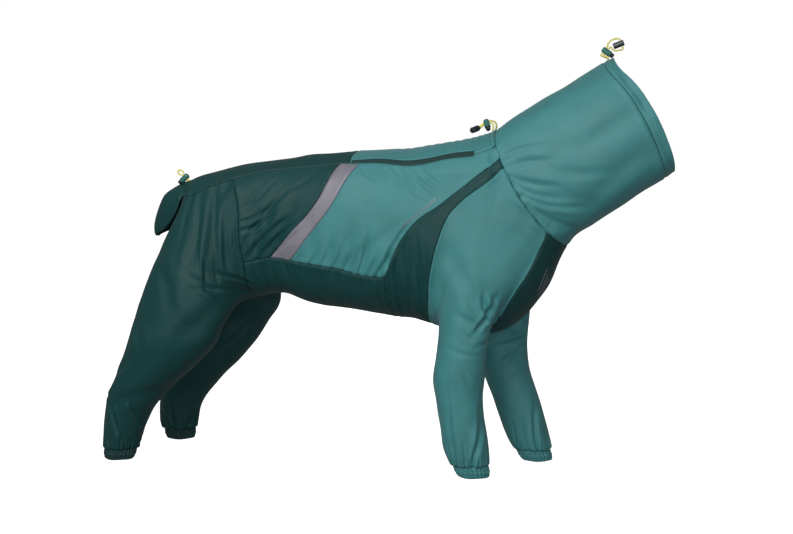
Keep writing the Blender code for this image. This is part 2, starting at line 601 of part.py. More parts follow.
def make_hood(right):
    """The hood from the neck seam, whose points it shares, to its hem."""
    zip_end, band_rear, band_front = (right[name][k, 1] for name, k in (
        ("zip over ribs", -1), ("band rear", 0), ("band front", 0)
    ))
    chest = right["chest edge"][0, 1]
    corners = [0, zip_end, band_rear, band_front, chest, 180]
    steps = [STEPS["across back"] // 2, 1, STEPS["band width"], STEPS["neck over leg"], STEPS["band under"]]
    half = joined(*[straight(a, b, n) for a, b, n in zip(corners[:-1], corners[1:], steps)])
    round_ = np.concatenate([half, 360 - half[-2:0:-1]])
    for name, start, end, steps in (
        ("hood", NECK, MOUTH - HEM, STEPS["hood length"]),
        ("hood_hem", MOUTH - HEM, MOUTH, 2),
    ):
        station, turn = np.meshgrid(np.linspace(start, end, steps + 1), round_, indexing="ij")
        from_top = np.abs((turn + 180) % 360 - 180)
        dip = RIM_DIP * np.exp(-(((from_top - RIM_DIP_TURN) / RIM_DIP_WIDTH) ** 2))
        station = station - dip * ((station - NECK) / (MOUTH - NECK)) ** 2
        edges = ("start", "end") if name == "hood" else ("start",)
        cloth(name, body(station, turn), body_out(station, turn), "light", closed=True, edges=edges)


def leg_grid(side, opening, turns, rings, inward, run_on, puff):
    """The outer grid of a leg: its opening in the body, a smooth bridge whose start runs on along the
    body and whose end runs down the tube, and the rings of the tube. The bridge is evened out, then
    stands out on one side by a sine of its length."""
    station, round_ = opening[:, 0], opening[:, 1]
    start = body(station, round_)
    out = body_out(station, round_)
    rings = np.asarray(rings, float)
    turns = np.radians(turns)

    def tube(z):
        row = smooth_rows(-rings[:, 0], rings[:, 1:], -np.atleast_1d(z))[:, None, :]
        x = row[..., 0] + row[..., 2] * np.cos(turns)
        y = -side * (row[..., 1] + row[..., 3] * np.sin(turns))
        return np.stack([x, y, np.broadcast_to(np.atleast_1d(z)[:, None], x.shape)], axis=-1)

    first = rings[0, 0]
    ring = tube(first)[0]
    reach = ring - start
    length = np.linalg.norm(reach, axis=-1, keepdims=True)
    level = reach - (reach * out).sum(axis=-1, keepdims=True) * out
    lead = unit(unit(level) + LOFT_SQUARE * inward) * length * run_on
    drop = unit(ring - tube(first + 1.0)[0]) * length * LOFT_DROP
    t = np.linspace(0, 1, LOFT_ROWS + 1)[:-1, None, None]
    bridge = (
        (1 + 2 * t) * (1 - t) ** 2 * start
        + t * (1 - t) ** 2 * lead
        + t * t * (3 - 2 * t) * ring
        + t * t * (t - 1) * drop
    )
    grid = np.concatenate([bridge, tube(rings[:, 0])])
    for _ in range(LOFT_PASSES):
        around = (np.roll(grid, 1, axis=1) + np.roll(grid, -1, axis=1)) / 2
        along = (grid[:-2] + grid[2:]) / 2
        grid[1:LOFT_ROWS + 1] = ((grid[1:-1] * 2 + around[1:-1] + along) / 4)[:LOFT_ROWS]
    puff_turn, puff_out = puff
    share = np.sin(np.linspace(0, np.pi, LOFT_ROWS + 2)[1:-1, None]) ** 2
    share = share * np.clip(np.cos(turns - np.radians(puff_turn)), 0, 1) ** 2
    level_out = np.stack([np.cos(turns), -side * np.sin(turns), np.zeros_like(turns)], axis=-1)
    grid[1:LOFT_ROWS + 1] += puff_out * share[..., None] * level_out
    return grid, out


def opening_inward(opening):
    """At each place of a leg's opening, the direction along the body and square to the seam that
    points into the opening; where two seams meet it is their mean."""
    station, round_ = opening[:, 0], opening[:, 1]
    points = body(station, round_)
    out = body_out(station, round_)
    ahead = unit(np.roll(points, -1, axis=0) - points)
    behind = unit(points - np.roll(points, 1, axis=0))
    inward = unit(np.cross(out, ahead) + np.cross(out, behind))
    for _ in range(INWARD_PASSES):
        inward = unit(np.roll(inward, 1, axis=0) + 2 * inward + np.roll(inward, -1, axis=0))
    return inward


def turns_between(corners, sizes):
    """A turn for each place round an opening: even steps between the turns of its corners."""
    runs = [np.linspace(a, b, n, endpoint=False) for a, b, n in zip(corners[:-1], corners[1:], sizes)]
    return np.concatenate(runs)


def make_legs(run, side, word):
    neck_run = straight(run["band front"][0], run["chest edge"][0], STEPS["neck over leg"])
    front_runs = [neck_run, run["chest edge"], run["band front"][::-1]]
    turn = FRONT_TURNS
    front_turns = [
        turn["strap corner"], turn["chest corner"], turn["under corner"], turn["strap corner"] - FULL_TURN,
    ]

    tail_run = straight((0.0, 180.0), run["zip over thigh"][0], STEPS["tail opening"])
    centre = straight(run["thigh under"][-1], (0.0, 180.0), STEPS["centre rear"])
    hind_runs = [run["zip over thigh"], run["thigh"], run["thigh under"], centre, tail_run]
    turn = HIND_TURNS
    hind_turns = [
        turn["tail corner"], turn["thigh corner"], turn["belly corner"], turn["front centre"],
        turn["tail low"], turn["tail corner"] - FULL_TURN,
    ]
    for name, runs, corners, rings, material in (
        ("front_leg", front_runs, front_turns, FRONT_RINGS[side], "light"),
        ("hind_leg", hind_runs, hind_turns, HIND_RINGS[side], "dark"),
    ):
        opening = joined(*runs)[:-1] * (1, side)
        turns = turns_between(corners, [len(part) - 1 for part in runs])
        inward = opening_inward(opening) * -side
        shape = LOFT_LEAD[name, side], LOFT_PUFF[name, side]
        grid, out = leg_grid(side, opening, turns, rings, inward, *shape)
        normals = -grid_out(grid, closed=True) * side
        normals[0] = out
        normals[-1] = unit(normals[-1] * LEVEL)
        for _ in range(NORMAL_PASSES):
            normals[1:-1] = unit(normals[:-2] + 2 * normals[1:-1] + normals[2:])
        cloth(f"{name}_{word}", grid, normals, material, closed=True, edges=("start", "end"))
        make_cuff(f"{name.replace('leg', 'cuff')}_{word}", side, rings)


def make_cuff(name, side, rings):
    """A gathered elastic cuff below a leg: rings that draw in, waved by its ribs."""
    z, middle_x, middle_y, half_length, half_width = rings[-1]
    above = rings[-2]
    lean = (middle_x - above[1]) / (above[0] - z)
    turns = np.linspace(0, 2 * np.pi, CUFF_RIBS * CUFF_STEPS_PER_RIB, endpoint=False)
    rib = CUFF_RIB_DEEP * np.cos(turns * CUFF_RIBS)
    levels = []
    for depth, inset in CUFF_LEVELS:
        x = middle_x + lean * CUFF_DEEP * depth + (half_length - inset + rib) * np.cos(turns)
        y = -side * (middle_y + (half_width - inset + rib) * np.sin(turns))
        levels.append(np.stack([x, y, np.full_like(x, z - CUFF_DEEP * depth)], axis=-1))
    grid = np.array(levels)
    out = grid_out(grid, closed=True) * side
    out[0] = unit(out[0] * LEVEL)
    cloth(name, grid, out, "trim" if "hind" in name else "light", closed=True, edges=("start",))


def make_flap():
    """The tail flap: rows from the end of the back's cloth to its round tip. Each row is a quarter
    wave on both sides of the ridge, from the ridge down to the side edge."""
    rows = np.asarray(FLAP_ROWS, float)
    over = np.linspace(-1, 1, STEPS["across back"] + 1)
    ends = ZIP_SEAM[0][1]
    root = body(0.0, over * ends)
    root_out = body_out(0.0, over * ends)
    row = smooth_rows(np.arange(len(rows)), rows, np.linspace(0, len(rows) - 1, FLAP_STEPS))[:, None]
    wave = np.radians(90) * over
    fall = 1 - np.cos(wave)
    x = row[..., 0] + (row[..., 2] - row[..., 0]) * fall
    z = row[..., 1] + (row[..., 3] - row[..., 1]) * fall
    grid = np.concatenate([root[None], np.stack([x, -row[..., 4] * np.sin(wave), z], axis=-1)])
    out = -grid_out(grid, closed=False)
    out[0] = root_out
    cloth("tail_flap", grid, out, "dark", edges=("start",))


def turned(name, profile, place, material):
    """A turned piece: its half outline as (radius, height), spun round its own Z axis."""
    mesh = bpy.data.meshes.new(name)
    points = [(radius * MM, 0, height * MM) for radius, height in profile]
    mesh.from_pydata(points, [(k, k + 1) for k in range(len(points) - 1)], [])
    item = add_object(name, mesh, material)
    item.matrix_world = place
    spin = item.modifiers.new("turned", "SCREW")
    spin.steps = spin.render_steps = TURNED_STEPS
    spin.use_merge_vertices = True
    spin.merge_threshold = 0.00001
    return item


def place_on(start, axis, cross=None):
    """A place whose Z runs along the axis and whose X is as near as can be to the cross direction."""
    z = Vector(axis).normalized()
    x = Vector(cross) if cross else Vector((0, 0, 1))
    x = (x - x.dot(z) * z).normalized()
    turn = Matrix((x, z.cross(x), z)).transposed().to_4x4()
    return Matrix.Translation(Vector(start) * MM) @ turn


def cut(item, cutter):
    """Cuts a hole in an item and keeps the cutter out of the part."""
    bpy.data.collections["cutters"].objects.link(cutter)
    cutter.hide_render = True
    cutter.display_type = "WIRE"
    hole = item.modifiers.new("hole", "BOOLEAN")
    hole.solver = "EXACT"
    hole.object = cutter


def add_cutter(name, mesh, place):
    item = bpy.data.objects.new(name, mesh)
    item.matrix_world = place
    return item


def rod_cutter(name, radius, length, place):
    """A rod along X through the middle of its own frame."""
    mesh = bpy.data.meshes.new(name)
    shape = bmesh.new()
    bmesh.ops.create_cone(
        shape, cap_ends=True, segments=TURNED_STEPS, radius1=radius * MM, radius2=radius * MM,
        depth=length * MM, matrix=Matrix.Rotation(np.radians(90), 4, "Y"),
    )
    shape.to_mesh(mesh)
    shape.free()
    return add_cutter(name, mesh, place)


def box_cutter(name, size, place):
    """A box about the middle of its own frame."""
    mesh = bpy.data.meshes.new(name)
    shape = bmesh.new()
    bmesh.ops.create_cube(shape, size=1.0, matrix=Matrix.Diagonal(Vector((*size, 1 / MM)) * MM))
    shape.to_mesh(mesh)
    shape.free()
    return add_cutter(name, mesh, place)


def make_lock(name, tip, axis, cross):
    """A cord lock: its barrel with a slot for the cords and a bore, and its plunger in the bore."""
    direction = np.array(axis) / np.linalg.norm(axis)
    closed_end = np.array(tip) - direction * (LOCK_LENGTH + PLUNGER_OUT)
    place = place_on(closed_end, axis, cross)
    barrel = turned(
        f"lock_{name}",
        [
            (0, LOCK_LENGTH - BORE_DEEP), (BORE_RADIUS, LOCK_LENGTH - BORE_DEEP), (BORE_RADIUS, LOCK_LENGTH),
            (LOCK_RADIUS - LOCK_EDGE_WIDE, LOCK_LENGTH), (LOCK_RADIUS, LOCK_LENGTH - LOCK_EDGE_HIGH),
            *((LOCK_RADIUS * share, height) for share, height in LOCK_NOSE),
            (0, 0),
        ],
        place,
        "lock",
    )
    slot_place = place @ Matrix.Translation((0, 0, (SLOT_START + SLOT_LONG / 2) * MM))
    cut(barrel, box_cutter(f"slot_{name}", (LOCK_RADIUS * 3, SLOT_WIDE, SLOT_LONG), slot_place))
    inner_end = LOCK_LENGTH - PLUNGER_IN
    long = PLUNGER_IN + PLUNGER_OUT
    turned(
        f"plunger_{name}",
        [
            (0, long), (PLUNGER_RADIUS - PLUNGER_EDGE, long), (PLUNGER_RADIUS, long - PLUNGER_EDGE),
            (PLUNGER_RADIUS, 0), (0, 0),
        ],
        place @ Matrix.Translation((0, 0, inner_end * MM)),
        "plunger",
    )


def make_cord_end(name, start, axis):
    """A cord end: a short turned barrel; the hood's has a hole across it for the cord."""
    radius, long, edge = CORD_END_RADIUS, CORD_END_LONG, CORD_END_EDGE
    place = place_on(start, axis)
    barrel = turned(
        f"cord_end_{name}",
        [(0, long), (radius - edge, long), (radius, long - edge), (radius, edge), (radius - edge, 0), (0, 0)],
        place,
        "plunger",
    )
    if name == "hood":
        hole_place = place @ Matrix.Translation((0, 0, CORD_END_HOLE * MM))
        cut(barrel, rod_cutter("cord_hole", CORD / 2 + CORD_CLEAR, radius * 3, hole_place))


def make_cord(name, route):
    """A cord: a tube on the smooth curve through the places of its route."""
    route = np.asarray(route, float)
    knots = np.concatenate([[0.0], np.cumsum(np.linalg.norm(np.diff(route, axis=0), axis=1))])
    steps = np.maximum(1, np.round(np.diff(knots) / (CORD * CORD_STEP))).astype(int)
    runs = [np.linspace(a, b, n, endpoint=False) for a, b, n in zip(knots[:-1], knots[1:], steps)]
    points = smooth_rows(knots, route, np.concatenate([*runs, knots[-1:]])) * MM
    curve = bpy.data.curves.new(name, "CURVE")
    curve.dimensions = "3D"
    curve.bevel_depth = CORD / 2 * MM
    curve.bevel_resolution = 2
    curve.use_fill_caps = True
    line = curve.splines.new("POLY")
    line.points.add(len(points) - 1)
    line.points.foreach_set("co", np.concatenate([points, np.ones((len(points), 1))], axis=1).ravel())
    add_object(name, curve, "cord")


def make_locks():
    for row in LOCKS:
        make_lock(*row)
    for row in CORD_ENDS:
        make_cord_end(*row)
    for name, route in CORD_ROUTES.items():
        make_cord(name, route)


def material(name, colour, roughness, metallic=0.0):
    item = bpy.data.materials.new(name)
    item.use_nodes = True
    shader = item.node_tree.nodes["Principled BSDF"]
    shader.inputs["Base Color"].default_value = (*colour, 1)
    shader.inputs["Roughness"].default_value = roughness
    shader.inputs["Metallic"].default_value = metallic
    return item


def make_materials():
    return {
        "light": material("light_teal_cloth", (0.065, 0.235, 0.225), 0.55),
        "dark": material("dark_green_cloth", (0.018, 0.062, 0.058), 0.55),
        "reflective": material("reflective_tape", (0.19, 0.17, 0.20), 0.35, 0.2),
        "trim": material("dark_elastic", (0.012, 0.035, 0.034), 0.7),
        "lock": material("teal_plastic", (0.045, 0.16, 0.155), 0.35),
        "plunger": material("black_plastic", (0.012, 0.016, 0.02), 0.35),
        "cord": material("lime_cord", (0.62, 0.58, 0.22), 0.7),
    }


def main():
    for item in list(bpy.data.objects):
        bpy.data.objects.remove(item, do_unlink=True)
    for name in ("dog_rain_suit", "cutters"):
        bpy.context.scene.collection.children.link(bpy.data.collections.new(name))
    MATERIALS.update(make_materials())
    right, left = seams(RIGHT), seams(LEFT)
    back = make_back()
    make_side_panels(left, LEFT, "left")
    make_overlays(back, make_side_panels(right, RIGHT, "right"))
    make_under_panels(right, left)
    make_hood(right)
    make_legs(right, RIGHT, "right")
    make_legs(left, LEFT, "left")
    make_flap()
    make_locks()


MATERIALS = {}
main()
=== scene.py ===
"""Dresses the dog rain suit: thin cloth panels on the solids' form with their creases, seams and
stitching, elastic cuffs, a coil zip, drawcords and cord locks, in soft studio light.

Tables and lengths are in millimetres; every mesh is written in metres. A place on the body is
(station, round): the station runs along the middle line from the tail opening to the hood's mouth, and
round is the turn from the back's ridge, positive over the wearer's right side, which faces -Y.
"""

import json

import bmesh
import bpy
import numpy as np
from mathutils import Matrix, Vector

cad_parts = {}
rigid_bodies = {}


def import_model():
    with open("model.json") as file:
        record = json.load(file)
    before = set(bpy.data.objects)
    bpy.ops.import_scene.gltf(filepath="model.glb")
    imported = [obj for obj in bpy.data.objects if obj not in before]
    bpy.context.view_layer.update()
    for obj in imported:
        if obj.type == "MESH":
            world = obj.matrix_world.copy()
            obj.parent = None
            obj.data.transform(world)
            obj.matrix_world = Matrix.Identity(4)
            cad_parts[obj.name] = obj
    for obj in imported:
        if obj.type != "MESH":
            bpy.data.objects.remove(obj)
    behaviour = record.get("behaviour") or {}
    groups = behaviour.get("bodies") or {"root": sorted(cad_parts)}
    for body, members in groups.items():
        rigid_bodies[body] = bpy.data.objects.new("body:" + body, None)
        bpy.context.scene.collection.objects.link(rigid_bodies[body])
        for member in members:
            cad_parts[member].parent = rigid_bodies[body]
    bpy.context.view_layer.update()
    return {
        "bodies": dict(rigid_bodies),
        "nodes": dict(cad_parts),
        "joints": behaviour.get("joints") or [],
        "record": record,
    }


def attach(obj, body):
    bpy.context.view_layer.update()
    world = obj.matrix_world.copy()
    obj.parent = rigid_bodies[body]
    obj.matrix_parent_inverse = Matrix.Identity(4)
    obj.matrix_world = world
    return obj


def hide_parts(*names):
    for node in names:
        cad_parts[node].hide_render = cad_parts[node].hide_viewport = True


MM = 0.001
RIGHT, LEFT = 1, -1
SEAM_FINE = 7  # steps of the cloth in one step of the solids: round the legs and the hood, and on the flap
PANEL_FINE = 9  # the same for the body's panels and down the hood
LEG_FINE = 9  # the same down the legs
CLOTH_THICK = 0.7
PINCH, PUFF = 0.75, 0.4  # how deep a seam draws the cloth in, and how far it stands out beside it
PINCH_WIDE, PUFF_PLACE, PUFF_WIDE = 1.6, 5.0, 2.6  # mm from the seam
UNSEWN = 1000.0  # distance from a sewn edge where there is none
ALL_EDGES = ("start", "end", "left", "right")
WEAVE_M, RIB_M, HERRINGBONE_M, STRAND_M = 0.0011, 0.0016, 0.0012, 0.0030
STITCH_IN_M, STITCH_WIDE_M, STITCH_LONG_M = 0.0034, 0.0005, 0.0032
# the first is how wide the painted shade runs along each sewn edge, the second how far the puckers reach
SEAM_SHADE_M, PUCKER_M = 0.0010, 0.012
CREASE_DEEP, CREASE_WIDE = 1.55, 0.85  # shares of the creases' depths and widths
PIXEL_MM = 1.6  # a camera pixel at the suit's middle plane
RIDGE_PLACE, RIDGE_SHARP, RIDGE_HIGH = 1.6, 1.3, 0.4  # the ridges beside a trough, in its widths and depths
PLANE_REACH = 70.0  # how far from a crease's plane the cloth still takes it, fading over its last part

VIEW_AZIMUTH, VIEW_ELEVATION = np.radians(14.0), np.radians(5.0)
VIEW_DISTANCE = 2.6
VIEW_TARGET = (0.0, 0.0, -0.187)
FOCAL_PIXELS, PHOTO_WIDTH, PHOTO_HEIGHT = 1625.0, 793.0, 534.0
FLOOR_Z = -0.53
FLOOR_GLOW = 1.0
ROOM_LIGHT = 0.17
LIGHTS = [
    # name, place, aim, size, power
    ("key", (-0.45, -2.0, 1.0), (-0.03, 0.0, -0.1), 1.2, 40),
    ("top", (-0.3, -0.5, 2.4), (0.0, 0.0, -0.1), 1.4, 7),
    ("low fill", (1.0, -2.4, -0.1), (0.0, 0.0, -0.35), 1.4, 22),
    ("far fill", (-0.3, 2.4, 0.6), (0.0, 0.0, -0.15), 1.6, 34),
]

# ---------------------------------------------------------------------------------------------
# The suit's form, from the same sections and seams as the solids
# ---------------------------------------------------------------------------------------------

SECTIONS = [
    # name, top_x, top_z, low_x, low_z, middle_y, half_width, turn, side_reach
    ("tail opening", -337, -48, -372, -142, 0, 45, 0, 5),
    ("rump", -322, -42, -385, -190, 0, 66, 0, 0),
    ("hip", -298, -35, -352, -232, 0, 80, 0, 0),
    ("thigh", -268, -28, -296, -244, 0, 87, 0, 0),
    ("flank", -232, -21, -232, -240, 0, 87, 0, 0),
    ("waist", -190, -15, -183, -233, 0, 84, 0, 0),
    ("loin", -145, -9, -136, -247, 0, 86, 0, 0),
    ("rear ribs", -88, -4, -82, -255, 0, 93, 0, 0),
    ("ribs", -28, 0, -24, -261, 0, 98, 0, 0),
    ("front ribs", 32, 5, 38, -270, 0, 101, 0, 0),
    ("shoulder", 84, 12, 104, -285, 0, 101, 0, 0),
    ("breast", 124, 20, 176, -282, 0, 97, 0, -2),
    ("lower neck", 150, 27, 238, -222, 0, 89, 0, -8),
    ("neck seam", 163, 31, 274, -147, 0, 79, 0, -12),
    ("hood base", 200, 59, 314, -114, 6, 83, 3, -6),
    ("hood middle", 262, 96, 366, -79, 18, 86, 6, 3),
    ("hood front", 316, 131, 411, -48, 29, 84, 9, 9),
    ("hood mouth", 341, 143, 434, -32, 35, 80, 10, 10),
]
SQUARENESS = 0.12
TOP_HEAVY = 0.06
REACH_AIM = np.array([0.86, 0.0, 0.51])
ROUND_MM = 1.6

SECTION_ROWS = np.array([row[1:] for row in SECTIONS], float)
MIDDLES = np.stack(
    [SECTION_ROWS[:, [0, 2]].mean(1), SECTION_ROWS[:, 4], SECTION_ROWS[:, [1, 3]].mean(1)], axis=1
)
STATIONS = np.concatenate([[0.0], np.cumsum(np.linalg.norm(np.diff(MIDDLES, axis=0), axis=1))])
NECK = STATIONS[[row[0] for row in SECTIONS].index("neck seam")]
MOUTH = STATIONS[-1]
HEM = 17.0
HEM_STEPS = 14
BACK_SPLIT = 320.0
ZIP_SEAM = [
    (0, 60), (28, 56), (55, 47), (119, 38), (160, 35.5), (220, 34), (276, 33.5), (326, 32),
    (370, 34), (424, 38.5), (480, 35.5), (549, 38), (NECK, 43),
]
LEFT_THIGH_PULL = 20.0
THIGH_SEAM = [(120, 38), (142, 72), (145, 93), (149, 114), (149, 128), (147, 150), (152, 180)]
STRIPE_REAR = [(308, 32.6), (273.6, 69.6), (228, 92), (192, 112.4)]
STRIPE_FRONT = [(340, 32.3), (299, 71.6), (255.6, 94), (224.4, 111.7)]
BELLY_SEAM = [(149, 114), (192, 112.4), (224.4, 111.7), (278, 112.4), (313, 114.7), (356, 117.4), (384, 116)]
BAND_REAR = [
    (NECK, 57), (585, 56), (555, 57), (519, 61), (492, 68), (465, 73), (439, 79.6), (420, 88),
    (402, 97.4), (391, 107), (384, 116), (381, 136), (384, 157), (386, 180),
]
BAND_FRONT = [
    (NECK, 68), (600, 65.5), (566, 65), (533, 66.6), (503, 72), (485, 79.4), (472, 89), (462, 99),
    (452, 113.4), (445, 131.4), (440, 150), (438, 163), (437, 180),
]
CHEST_EDGE = [(NECK, 131), (604, 133), (580, 132), (562, 135), (539, 145), (526, 153), (490, 160), (438, 163)]
ROW_OF = {
    "belly at stripe rear": 1, "belly at stripe front": 2,
    "thigh at belly": 3, "band rear at belly": 10, "band front at chest": 11,
}
STEPS = {
    "zip over thigh": 6, "zip over flank": 6, "stripe width": 2, "zip over ribs": 12,
    "side height": 8, "under side": 6, "centre rear": 6, "tail opening": 6, "across back": 6,
    "band width": 3, "band front": 10, "band under": 3, "chest edge": 10, "neck over leg": 5,
    "hood length": 8,
}

FRONT_RINGS = {
    # z, middle_x, middle_y, half_length, half_width
    RIGHT: [
        (-322, 118, 76, 43, 42), (-350, 118.3, 76, 39.6, 39), (-380, 119.3, 76, 36.8, 37),
        (-410, 122.3, 76, 35.2, 35), (-440, 127.5, 76, 35.2, 35), (-465, 132, 76, 34.5, 34),
        (-479, 135.5, 76, 31.5, 31), (-486, 137.5, 76, 27.5, 27),
    ],
    LEFT: [
        (-322, 158, 76, 42, 42), (-350, 163, 76, 39.6, 39), (-380, 172.5, 76, 37.9, 37),
        (-410, 183.7, 76, 37.0, 36), (-440, 194, 76, 36.4, 35), (-465, 201.5, 76, 35.2, 34),
        (-479, 207, 76, 31.8, 31), (-486, 210, 76, 27.5, 27),
    ],
}
HIND_RINGS = {
    RIGHT: [
        (-275, -336, 84, 80, 56), (-304, -350, 84, 74, 54), (-330, -365, 83, 68.5, 51),
        (-360, -387, 82, 59.5, 47),
        (-388, -409.5, 80, 49, 42), (-415, -425.7, 79, 41, 37), (-440, -434.8, 78, 36, 34),
        (-465, -441, 78, 32, 31), (-479, -443.8, 78, 29.5, 29), (-486, -445, 78, 26.5, 26.5),
    ],
    LEFT: [
        (-275, -307, 84, 84, 56), (-304, -328, 84, 74, 54), (-330, -341, 83, 68.5, 51),
        (-360, -358, 82, 60, 47),
        (-388, -378, 80, 51, 42), (-415, -393, 79, 42, 37), (-440, -402, 78, 36, 34),
        (-463, -404.5, 78, 32.5, 31), (-473, -404, 78, 30, 29), (-479, -403.5, 78, 26.5, 26.5),
    ],
}
FRONT_TURNS = {"strap corner": 95, "chest corner": 40, "under corner": -130}
HIND_TURNS = {
    "tail corner": 150, "thigh corner": 82, "belly corner": 40, "front centre": -28, "tail low": -152,
}
LOFT_ROWS = 6
LOFT_LEAD = {
    ("front_leg", RIGHT): 1.05, ("front_leg", LEFT): 1.05, ("hind_leg", RIGHT): 1.1, ("hind_leg", LEFT): 1.1,
}
LOFT_PUFF = {
    ("front_leg", RIGHT): (0, 0), ("front_leg", LEFT): (25, 8), ("hind_leg", RIGHT): (180, 5),
    ("hind_leg", LEFT): (0, 8),
}
INWARD_PASSES = 3
LOFT_PASSES = 12
LOFT_SQUARE = 1.1
LOFT_DROP = 0.75

CUFF_DEEP = 17.0
CUFF_THICK = 1.1
CUFF_TOP = -0.16  # share of its depth by which a cuff runs up inside the leg
CUFF_RIBS = 14

FLAP_ROWS = [
    # ridge_x, ridge_z, edge_x, edge_z, half_width
    (-357, -54, -352, -83, 44.5), (-371, -61.5, -357, -98, 42), (-391, -73, -369, -115, 37),
    (-402, -91, -381, -127, 30), (-409, -112, -394, -135, 21), (-412, -130, -404, -140, 12),
    (-409, -143, -408, -144, 6),
]
FLAP_STEPS = 10
RIM_DIP, RIM_DIP_TURN, RIM_DIP_WIDTH = 8.0, 38.0, 30.0
ZIP_HALF = 3.4  # degrees each side of the zip seam
ZIP_FRONT = 550.0  # station of the zip's front end
ZIP_PITCH = 2.2
CASING_TOP, CASING_SIDE, NECK_ROW = 1.0, 0.4, 24.4
TURNED_EDGE = 1.0  # cloth turned in along each long edge of the casing

# Reflective print as (station, round) places: a row of dashes and the chest's bars
DASHES = ((414, 84.5), (471, 66.5))
DASH_COUNT, DASH_WIDE = 13, 3.6
CHEST_BARS = [((606, 154), (586, 157)), ((603, 160), (583, 163)), ((600, 166), (580, 169))]
BAR_WIDE = 3.2

CORD = 2.8
CORD_ROUND_M = 0.0088
STRANDS = 6
CORDS = {
    # route, what its far end does, pieces on it
    "cord_hood": (
        [
            (332.5, 27.6, 138.95), (330.4, 27.2, 143.8), (326.0, 27.4, 145.2), (321.4, 28.4, 145.9),
            (319.6, 30.8, 147.8), (322.0, 32, 150.1), (323.7, 32, 152.4), (326.9, 32, 156.8),
            (328.6, 32, 159.1), (330.2, 32, 164.8), (334.2, 32, 169.4), (339.8, 32, 171.9),
            (345.4, 32, 172.6), (348.9, 32, 170.1), (350.8, 32, 165.1), (352.7, 32, 160.0),
            (352.6, 32, 156.3), (348.2, 32, 154.9), (343.1, 32, 154.1), (337.6, 32, 155.7),
            (334.7, 32, 159.5), (331.2, 32, 157.2), (329.5, 32, 154.9), (326.3, 32, 150.5),
            (324.6, 32, 148.2), (324.0, 34.6, 144.9), (326.6, 37.4, 144.2), (329.2, 37.7, 142.4),
            (330.75, 37.7, 138.95),
        ],
        "object", ("cord_end_hood", "lock_hood", "plunger_hood"),
    ),
    "cord_neck_upper": (
        [
            (158.6, 5.2, 31.2), (160.6, 4.4, 36.4), (160.0, 2.2, 41.6), (156.2, -0.6, 45.4),
            (151.0, -2.7, 45.6), (148.4, -2.8, 44.55), (143.2, -3.0, 42.45), (140.6, -3.1, 41.4),
            (136.6, -2.6, 38.6), (134.3, -3.4, 36.9), (133.1, -6.2, 36.25),
        ],
        "fitting", ("cord_end_neck", "lock_neck", "plunger_neck"),
    ),
    "cord_neck_lower": (
        [
            (156.2, -8.4, 30.4), (157.8, -7.8, 36.6), (156.0, -6.4, 41.0), (152.0, -4.7, 43.3),
            (149.4, -4.8, 42.25), (144.2, -5.0, 40.15), (141.6, -5.1, 39.1), (137.6, -4.6, 36.2),
            (134.8, -3.2, 33.6), (133.6, -5.1, 33.2),
        ],
        "object", (),
    ),
    "cord_tail": (
        [
            (-342.8, -20, -51.5), (-345.1, -20, -48.9), (-347.0, -20, -46.8), (-350.6, -20, -42.6),
            (-352.5, -20, -40.5), (-354.4, -20, -36.2), (-358.6, -20, -33.8), (-362.6, -20, -35.6),
            (-362.0, -20, -39.8), (-358.4, -20, -41.6), (-354.9, -20, -42.6), (-353.0, -20, -44.7),
            (-349.4, -20, -48.9), (-347.5, -20, -51.0), (-346.2, -20, -52.5),
        ],
        "object", ("lock_tail", "plunger_tail"),
    ),
}
FINISH = "_finish"  # ends each finish's name, which else is its slot's
HARD_FINISHES = {"lock": "teal_plastic", "plunger": "black_plastic", "cord_end": "black_plastic"}

FAR_FOLD_SHIFT = -12.0
FAR_FOLD_SHARE = 0.85


def smooth_rows(knots, rows, at):
    """Values between the rows of a table: a cubic through each pair of rows whose slopes are the
    weighted means of the straight slopes on both sides."""
    knots = np.asarray(knots, float)
    rows = np.asarray(rows, float)
    at = np.asarray(at, float)
    step = np.diff(knots)
    shape = (-1,) + (1,) * (rows.ndim - 1)
    rise = np.diff(rows, axis=0) / step.reshape(shape)
    before, after = step[:-1].reshape(shape), step[1:].reshape(shape)
    inner = (rise[:-1] * after + rise[1:] * before) / (before + after)
    slope = np.concatenate([rise[:1], inner, rise[-1:]])
    k = np.clip(np.searchsorted(knots, at, side="right") - 1, 0, len(step) - 1)
    t = ((at - knots[k]) / step[k]).reshape(at.shape + (1,) * (rows.ndim - 1))
    span = step[k].reshape(t.shape)
    return (
        (1 + 2 * t) * (1 - t) ** 2 * rows[k]
        + t * (1 - t) ** 2 * span * slope[k]
        + t * t * (3 - 2 * t) * rows[k + 1]
        + t * t * (t - 1) * span * slope[k + 1]
    )


def unit(vectors):
    """Each vector at length 1."""
    return vectors / np.maximum(np.linalg.norm(vectors, axis=-1, keepdims=True), 1e-9)


def body(station, round_):
    """A point of the body's outer surface: a rounded-square ring between the section's highest and
    lowest point, turned by the section's turn, its sides reaching forward by the section's reach."""
    station, round_ = np.broadcast_arrays(np.asarray(station, float), np.asarray(round_, float))
    row = smooth_rows(STATIONS, SECTION_ROWS, station)
    top_x, top_z, low_x, low_z, middle_y, half_width, turn, reach = np.moveaxis(row, -1, 0)
    cos, sin = np.cos(np.radians(round_)), np.sin(np.radians(round_))
    up = cos * (1 + SQUARENESS * sin**2)
    out = sin * (1 + SQUARENESS * cos**2) * (1 + TOP_HEAVY * cos) * half_width
    forward = reach * sin**2
    turn = np.radians(turn)
    return np.stack(
        [
            (top_x + low_x) / 2 + (top_x - low_x) / 2 * up + out * np.sin(turn) + forward * REACH_AIM[0],
            middle_y - out * np.cos(turn),
            (top_z + low_z) / 2 + (top_z - low_z) / 2 * up + forward * REACH_AIM[2],
        ],
        axis=-1,
    )


